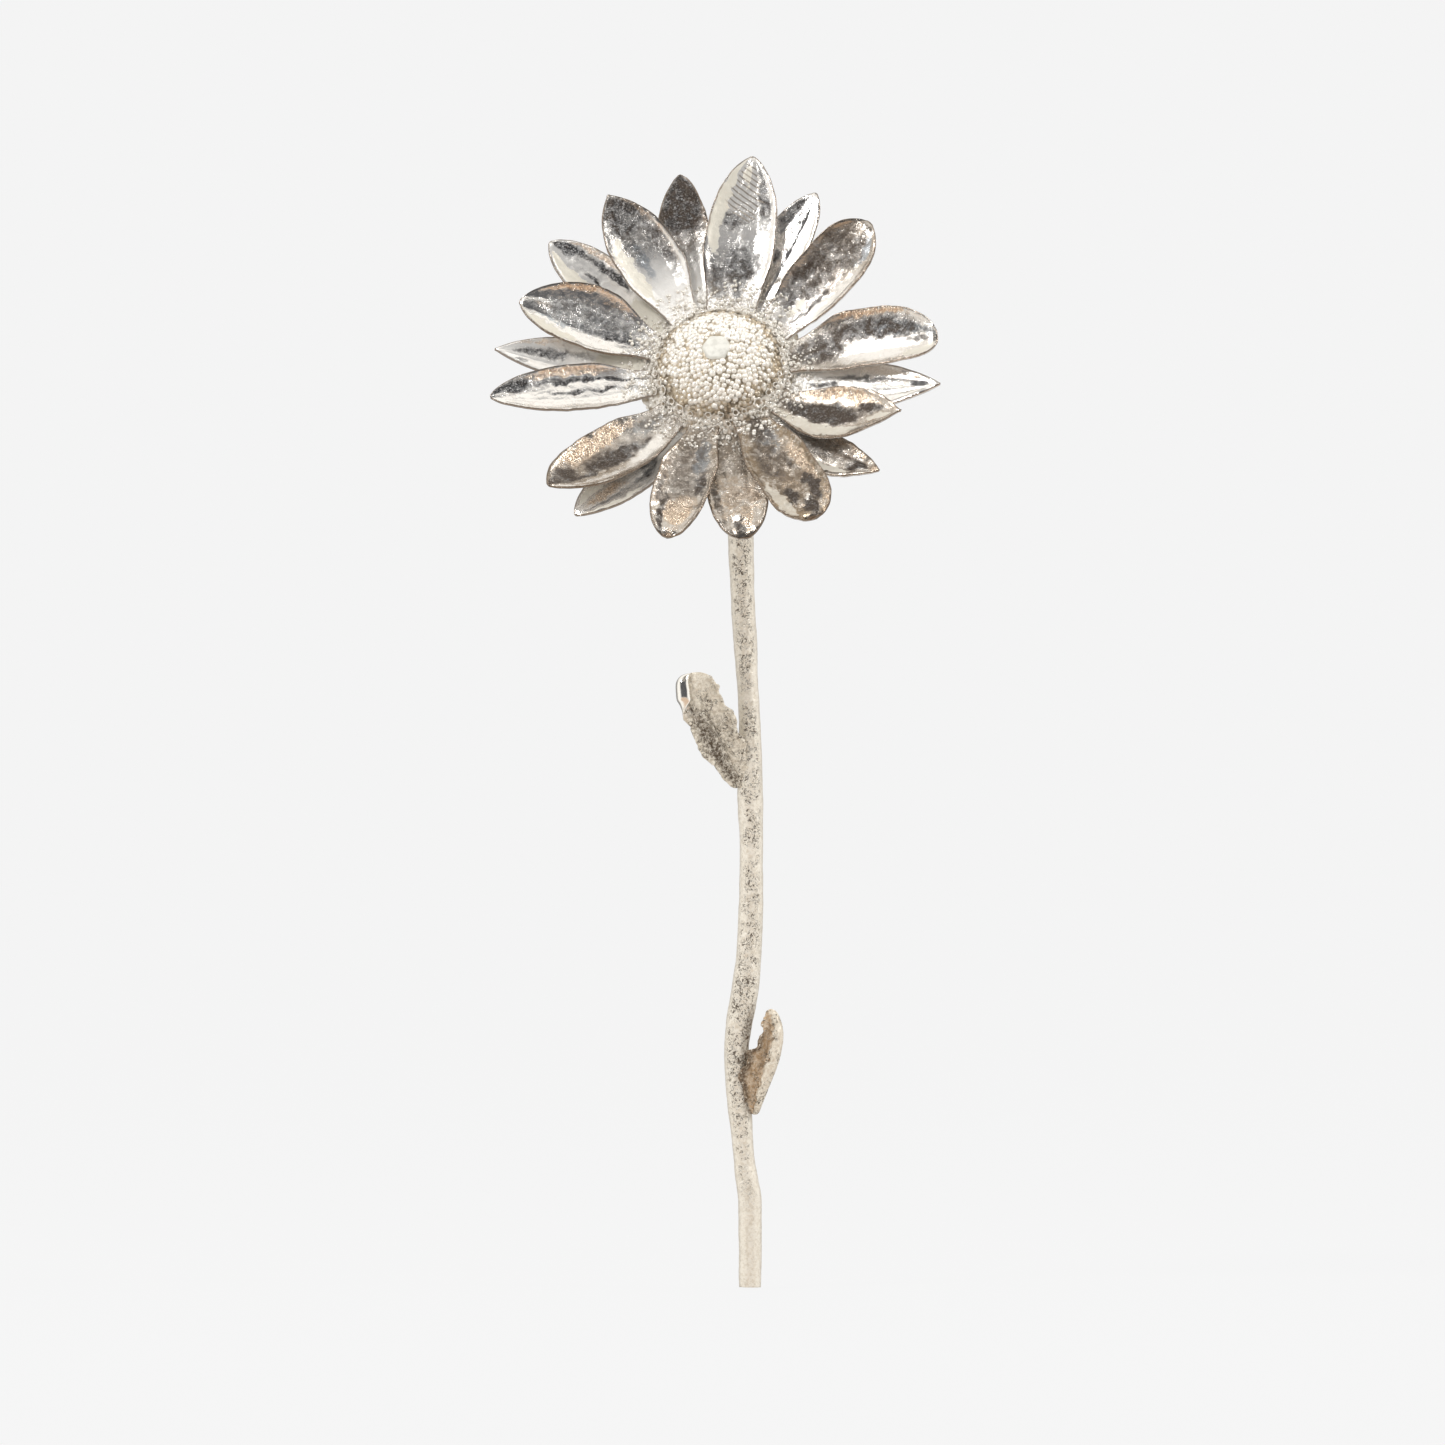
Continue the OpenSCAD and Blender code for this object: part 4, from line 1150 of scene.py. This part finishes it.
def leaf_silver(name, tan, even, cracked):
    """Granular silver with brown in its hollows and a polished roll where its layers say so."""
    s = Shade(name)
    at = s.object_mm()
    grain = s.ramp(s.noise(at, 3.2, 4.0, 0.7), 0.36, 0.64)
    patch = s.ramp(s.noise(at, 0.8, 3.0, 0.6, 0.6), 0.42, 0.58)
    brown, polish, seam = s.layer("brown"), s.layer("polish"), s.layer("seam")
    rougher = s.math("SUBTRACT", 1.0, polish)
    line = s.math("MAXIMUM", crackle(s, at, 0.4), crackle(s, s.stretched(at, (1, 1, 1), (7, 3, 5)), 0.7))
    line = s.math("MAXIMUM", line, s.times(s.ramp(s.noise(at, 5.0, 2.0, 0.6), 0.6, 0.68), 0.6))
    zone = s.ramp(s.times_plus(brown, cracked, patch), 0.0, 1.0)
    line = s.times(line, s.times(zone, rougher))
    tone = s.blend(grain, (0.68, 0.6, 0.48), (0.92, 0.855, 0.735))
    clumps = s.ramp(s.times_plus(s.noise(at, 1.3, 3.0, 0.6), 1.5, grain), 0.9, 1.6, 1.0, even)
    tone = s.blend(s.times(brown, clumps), tone, tan)
    tone = s.blend(polish, tone, (0.93, 0.91, 0.87))
    tone = s.blend(s.times(seam, s.ramp(grain, 0.0, 1.0, 0.95, 0.5)), tone, (0.06, 0.04, 0.026))
    s.set("Base Color", s.blend(s.times(line, 0.9), tone, CRACK_BROWN))
    s.set("Metallic", s.times_plus(polish, 0.65, 0.35))
    s.set("Roughness", s.times_plus(polish, -0.26, s.ramp(grain, 0.0, 1.0, 0.36, 0.46)))
    height = s.math("SUBTRACT", s.times(grain, 0.7), line)
    s.set("Normal", s.bump(s.times(height, rougher), 0.05))
    return s.material


UPPER_SILVER = leaf_silver("frosted_silver_leaf_upper", (0.12, 0.09, 0.062), 0.4, 0.8)
LOWER_SILVER = leaf_silver("frosted_silver_leaf_lower", (0.6, 0.42, 0.255), 0.6, -0.4)
build_leaf("leaf_upper_cast", "leaf_upper", UPPER_LEAF, upper_section, 0.9, False, UPPER_SILVER)
build_leaf("leaf_lower_cast", "leaf_lower", LOWER_LEAF, lower_section, 0.7, True, LOWER_SILVER)

# ---------------------------------------------------------------- bracts and hidden castings

BRACTS = 13
BRACT_ALONG = 34
BRACT_ACROSS = 18


def cup_arc(t, off):
    """Radius and height on the cup's outside, t degrees from its pole, off millimetres outside it."""
    angle = math.radians(t)
    return CUP_BACK_R + (CUP_DEPTH + off) * math.sin(angle), CUP_TOP - (CUP_DEPTH + off) * math.cos(angle)


def bract_point(first, last, off, thick, index, phase, s, w, outer):
    """A point of one bract: s along it from 0 to 1, w across it from -1 to 1."""
    wide = 1.12 - 0.1 * s
    turn = math.radians(360 / BRACTS * (index + phase) + 180 / BRACTS * wide * w)
    reach = mix(first, last - 24 * min(1, abs(w)) ** 2.4, s)
    x, y = 5 * math.cos(turn), 5 * math.sin(turn)
    rib = 0.14 * bell(w, 0, 0.16) * (1 - 0.5 * s)
    shingle = 0.07 * w + 0.1 * ease((s - 0.6) / 0.4) * (1 - abs(w))
    rough = 0.03 * wobble(x, y, reach / 12, 0.7, 3) + 0.02 * wobble(x, y, reach / 12, 0.3, 5)
    lift = off + shingle + (thick + rib + rough if outer else 0.0)
    r, z = cup_arc(reach, lift)
    return HEAD @ Vector((r * math.cos(turn), r * math.sin(turn), z))


def build_bracts(name, node, first, last, off, thick, phase):
    cluster = Cluster()
    rows, columns = BRACT_ALONG + 1, BRACT_ACROSS + 1
    for index in range(BRACTS):
        marks = [(i / BRACT_ALONG, crowded(-1 + 2 * j / BRACT_ACROSS, 0.4))
                 for i in range(rows) for j in range(columns)]
        verts = [bract_point(first, last, off, thick, index, phase, s, w, outer)
                 for outer in (True, False) for s, w in marks]
        faces = []
        layer = rows * columns
        for i in range(BRACT_ALONG):
            for j in range(BRACT_ACROSS):
                a = i * columns + j
                faces.append((a, a + columns, a + columns + 1, a + 1))
                faces.append((a + layer, a + 1 + layer, a + columns + 1 + layer, a + columns + layer))
        ring = list(range(columns))
        ring += [i * columns + BRACT_ACROSS for i in range(1, rows)]
        ring += [BRACT_ALONG * columns + j for j in range(BRACT_ACROSS - 1, -1, -1)]
        ring += [i * columns for i in range(BRACT_ALONG - 1, 0, -1)]
        for a, b in zip(ring, ring[1:] + ring[:1]):
            faces.append((a, b, b + layer, a + layer))
        gaps = [clamp(abs(w) ** 3 + 0.4 * (1 - s)) for _ in (0, 1) for s, w in marks]
        base = len(cluster.verts)
        cluster.add(verts, faces, Matrix.Identity(4))
        cluster.gap[base:] = gaps
    obj = new_object(name, cluster.verts, cluster.faces, CUP_SILVER, layers={"gap": cluster.gap})
    place(obj, "frosted_silver", node)


build_bracts("bracts_inner_cast", "bracts_inner", 24, 87, 0.07, 0.26, 0.0)
build_bracts("bracts_outer_cast", "bracts_outer", 12, 62, 0.54, 0.28, 0.5)

# These three keep the CAD's own meshes; only their material is new.
for node in ("cup", "hub_ring", "disc_core"):
    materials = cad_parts[node].data.materials
    materials.clear()
    materials.append(CUP_SILVER)


# ---------------------------------------------------------------- stage, lights and camera

PAPER = (0.905, 0.905, 0.905)
FLOOR_HALF = 3.0
FLOOR_DROP = 0.0002


def build_world():
    """Pale paper to the eye; in reflections, a dark card ahead, a warm table and a dim back wall."""
    world = bpy.data.worlds.new("studio")
    scene.world = world
    n = Nodes(world)
    coords = n.add("ShaderNodeTexCoord")
    split = n.add("ShaderNodeSeparateXYZ")
    n.link(coords.outputs["Generated"], split.inputs[0])
    x, y, z = split.outputs
    rise = n.math("ARCTAN2", z, n.times(y, -1.0))  # radians up from the front
    spread = n.math("ABSOLUTE", x)
    card = n.times(n.ramp(rise, -0.1, 0.15), n.ramp(rise, 1.3, 0.95))
    dark = n.times(n.ramp(spread, 0.86, 0.62), card)
    table = n.times(n.ramp(rise, -1.2, -0.8), n.ramp(rise, 0.1, -0.1))
    warm = n.times(n.ramp(spread, 0.9, 0.6), table)
    behind = n.times(n.ramp(y, 0.1, 0.5), n.ramp(z, 0.75, 0.2))
    glossy = n.blend(warm, (1.08, 1.05, 1.0), (0.74, 0.56, 0.42))
    glossy = n.blend(dark, glossy, (0.1, 0.1, 0.105))
    glossy = n.blend(behind, glossy, (0.34, 0.33, 0.32))
    path = n.add("ShaderNodeLightPath")
    colour = n.blend(path.outputs["Is Glossy Ray"], PAPER, glossy)
    background = n.add("ShaderNodeBackground")
    n.link(colour, background.inputs["Color"])
    out = n.add("ShaderNodeOutputWorld")
    n.link(background.outputs[0], out.inputs["Surface"])


def area_light(name, place_at, aim, size, power):
    data = bpy.data.lights.new(name, "AREA")
    data.size = size
    data.energy = power
    obj = bpy.data.objects.new(name, data)
    obj.location = place_at
    obj.rotation_euler = (Vector(aim) - Vector(place_at)).to_track_quat("-Z", "Y").to_euler()
    scene.collection.objects.link(obj)


def build_floor():
    s = Shade("stage_paper")
    glow = s.add("ShaderNodeEmission")
    glow.inputs["Color"].default_value = (*PAPER, 1)
    glow.inputs["Strength"].default_value = 0.97
    soft = s.add("ShaderNodeBsdfDiffuse")
    soft.inputs["Color"].default_value = (0.03, 0.03, 0.03, 1)
    both = s.add("ShaderNodeAddShader")
    s.link(glow.outputs[0], both.inputs[0])
    s.link(soft.outputs[0], both.inputs[1])
    s.link(both.outputs[0], s.out.inputs["Surface"])
    size = FLOOR_HALF
    mesh = bpy.data.meshes.new("stage_floor")
    corners = [(-size, -size, 0), (size, -size, 0), (size, size, 0), (-size, size, 0)]
    mesh.from_pydata(corners, [], [(0, 1, 2, 3)])
    mesh.materials.append(s.material)
    floor = bpy.data.objects.new("stage_floor", mesh)
    floor.location.z = -FLOOR_DROP
    scene.collection.objects.link(floor)
    floor.visible_glossy = False


build_world()
build_floor()
HEAD_PLACE = (0, 0, 0.09)
area_light("key_left", (-0.35, -0.35, 0.55), HEAD_PLACE, 0.12, 1.6)
area_light("key_right", (0.4, -0.15, 0.45), HEAD_PLACE, 0.1, 1.0)

# The camera looks level at the middle of the picture, which is FRAME_WIDTH metres wide there.
FOCAL = 300
SENSOR = 36
FRAME_WIDTH = 0.1449
AIM_X = -0.00275
AIM_Z = 0.05661
camera_data = bpy.data.cameras.new("camera")
camera_data.lens = FOCAL
camera_data.sensor_width = SENSOR
camera_data.clip_start = 0.01
camera_data.clip_end = 20
camera = bpy.data.objects.new("camera", camera_data)
scene.collection.objects.link(camera)
camera.location = (AIM_X, -FRAME_WIDTH * FOCAL / SENSOR, AIM_Z)
camera.rotation_euler = (math.radians(90), 0, 0)
scene.camera = camera
scene.view_settings.view_transform = "Standard"
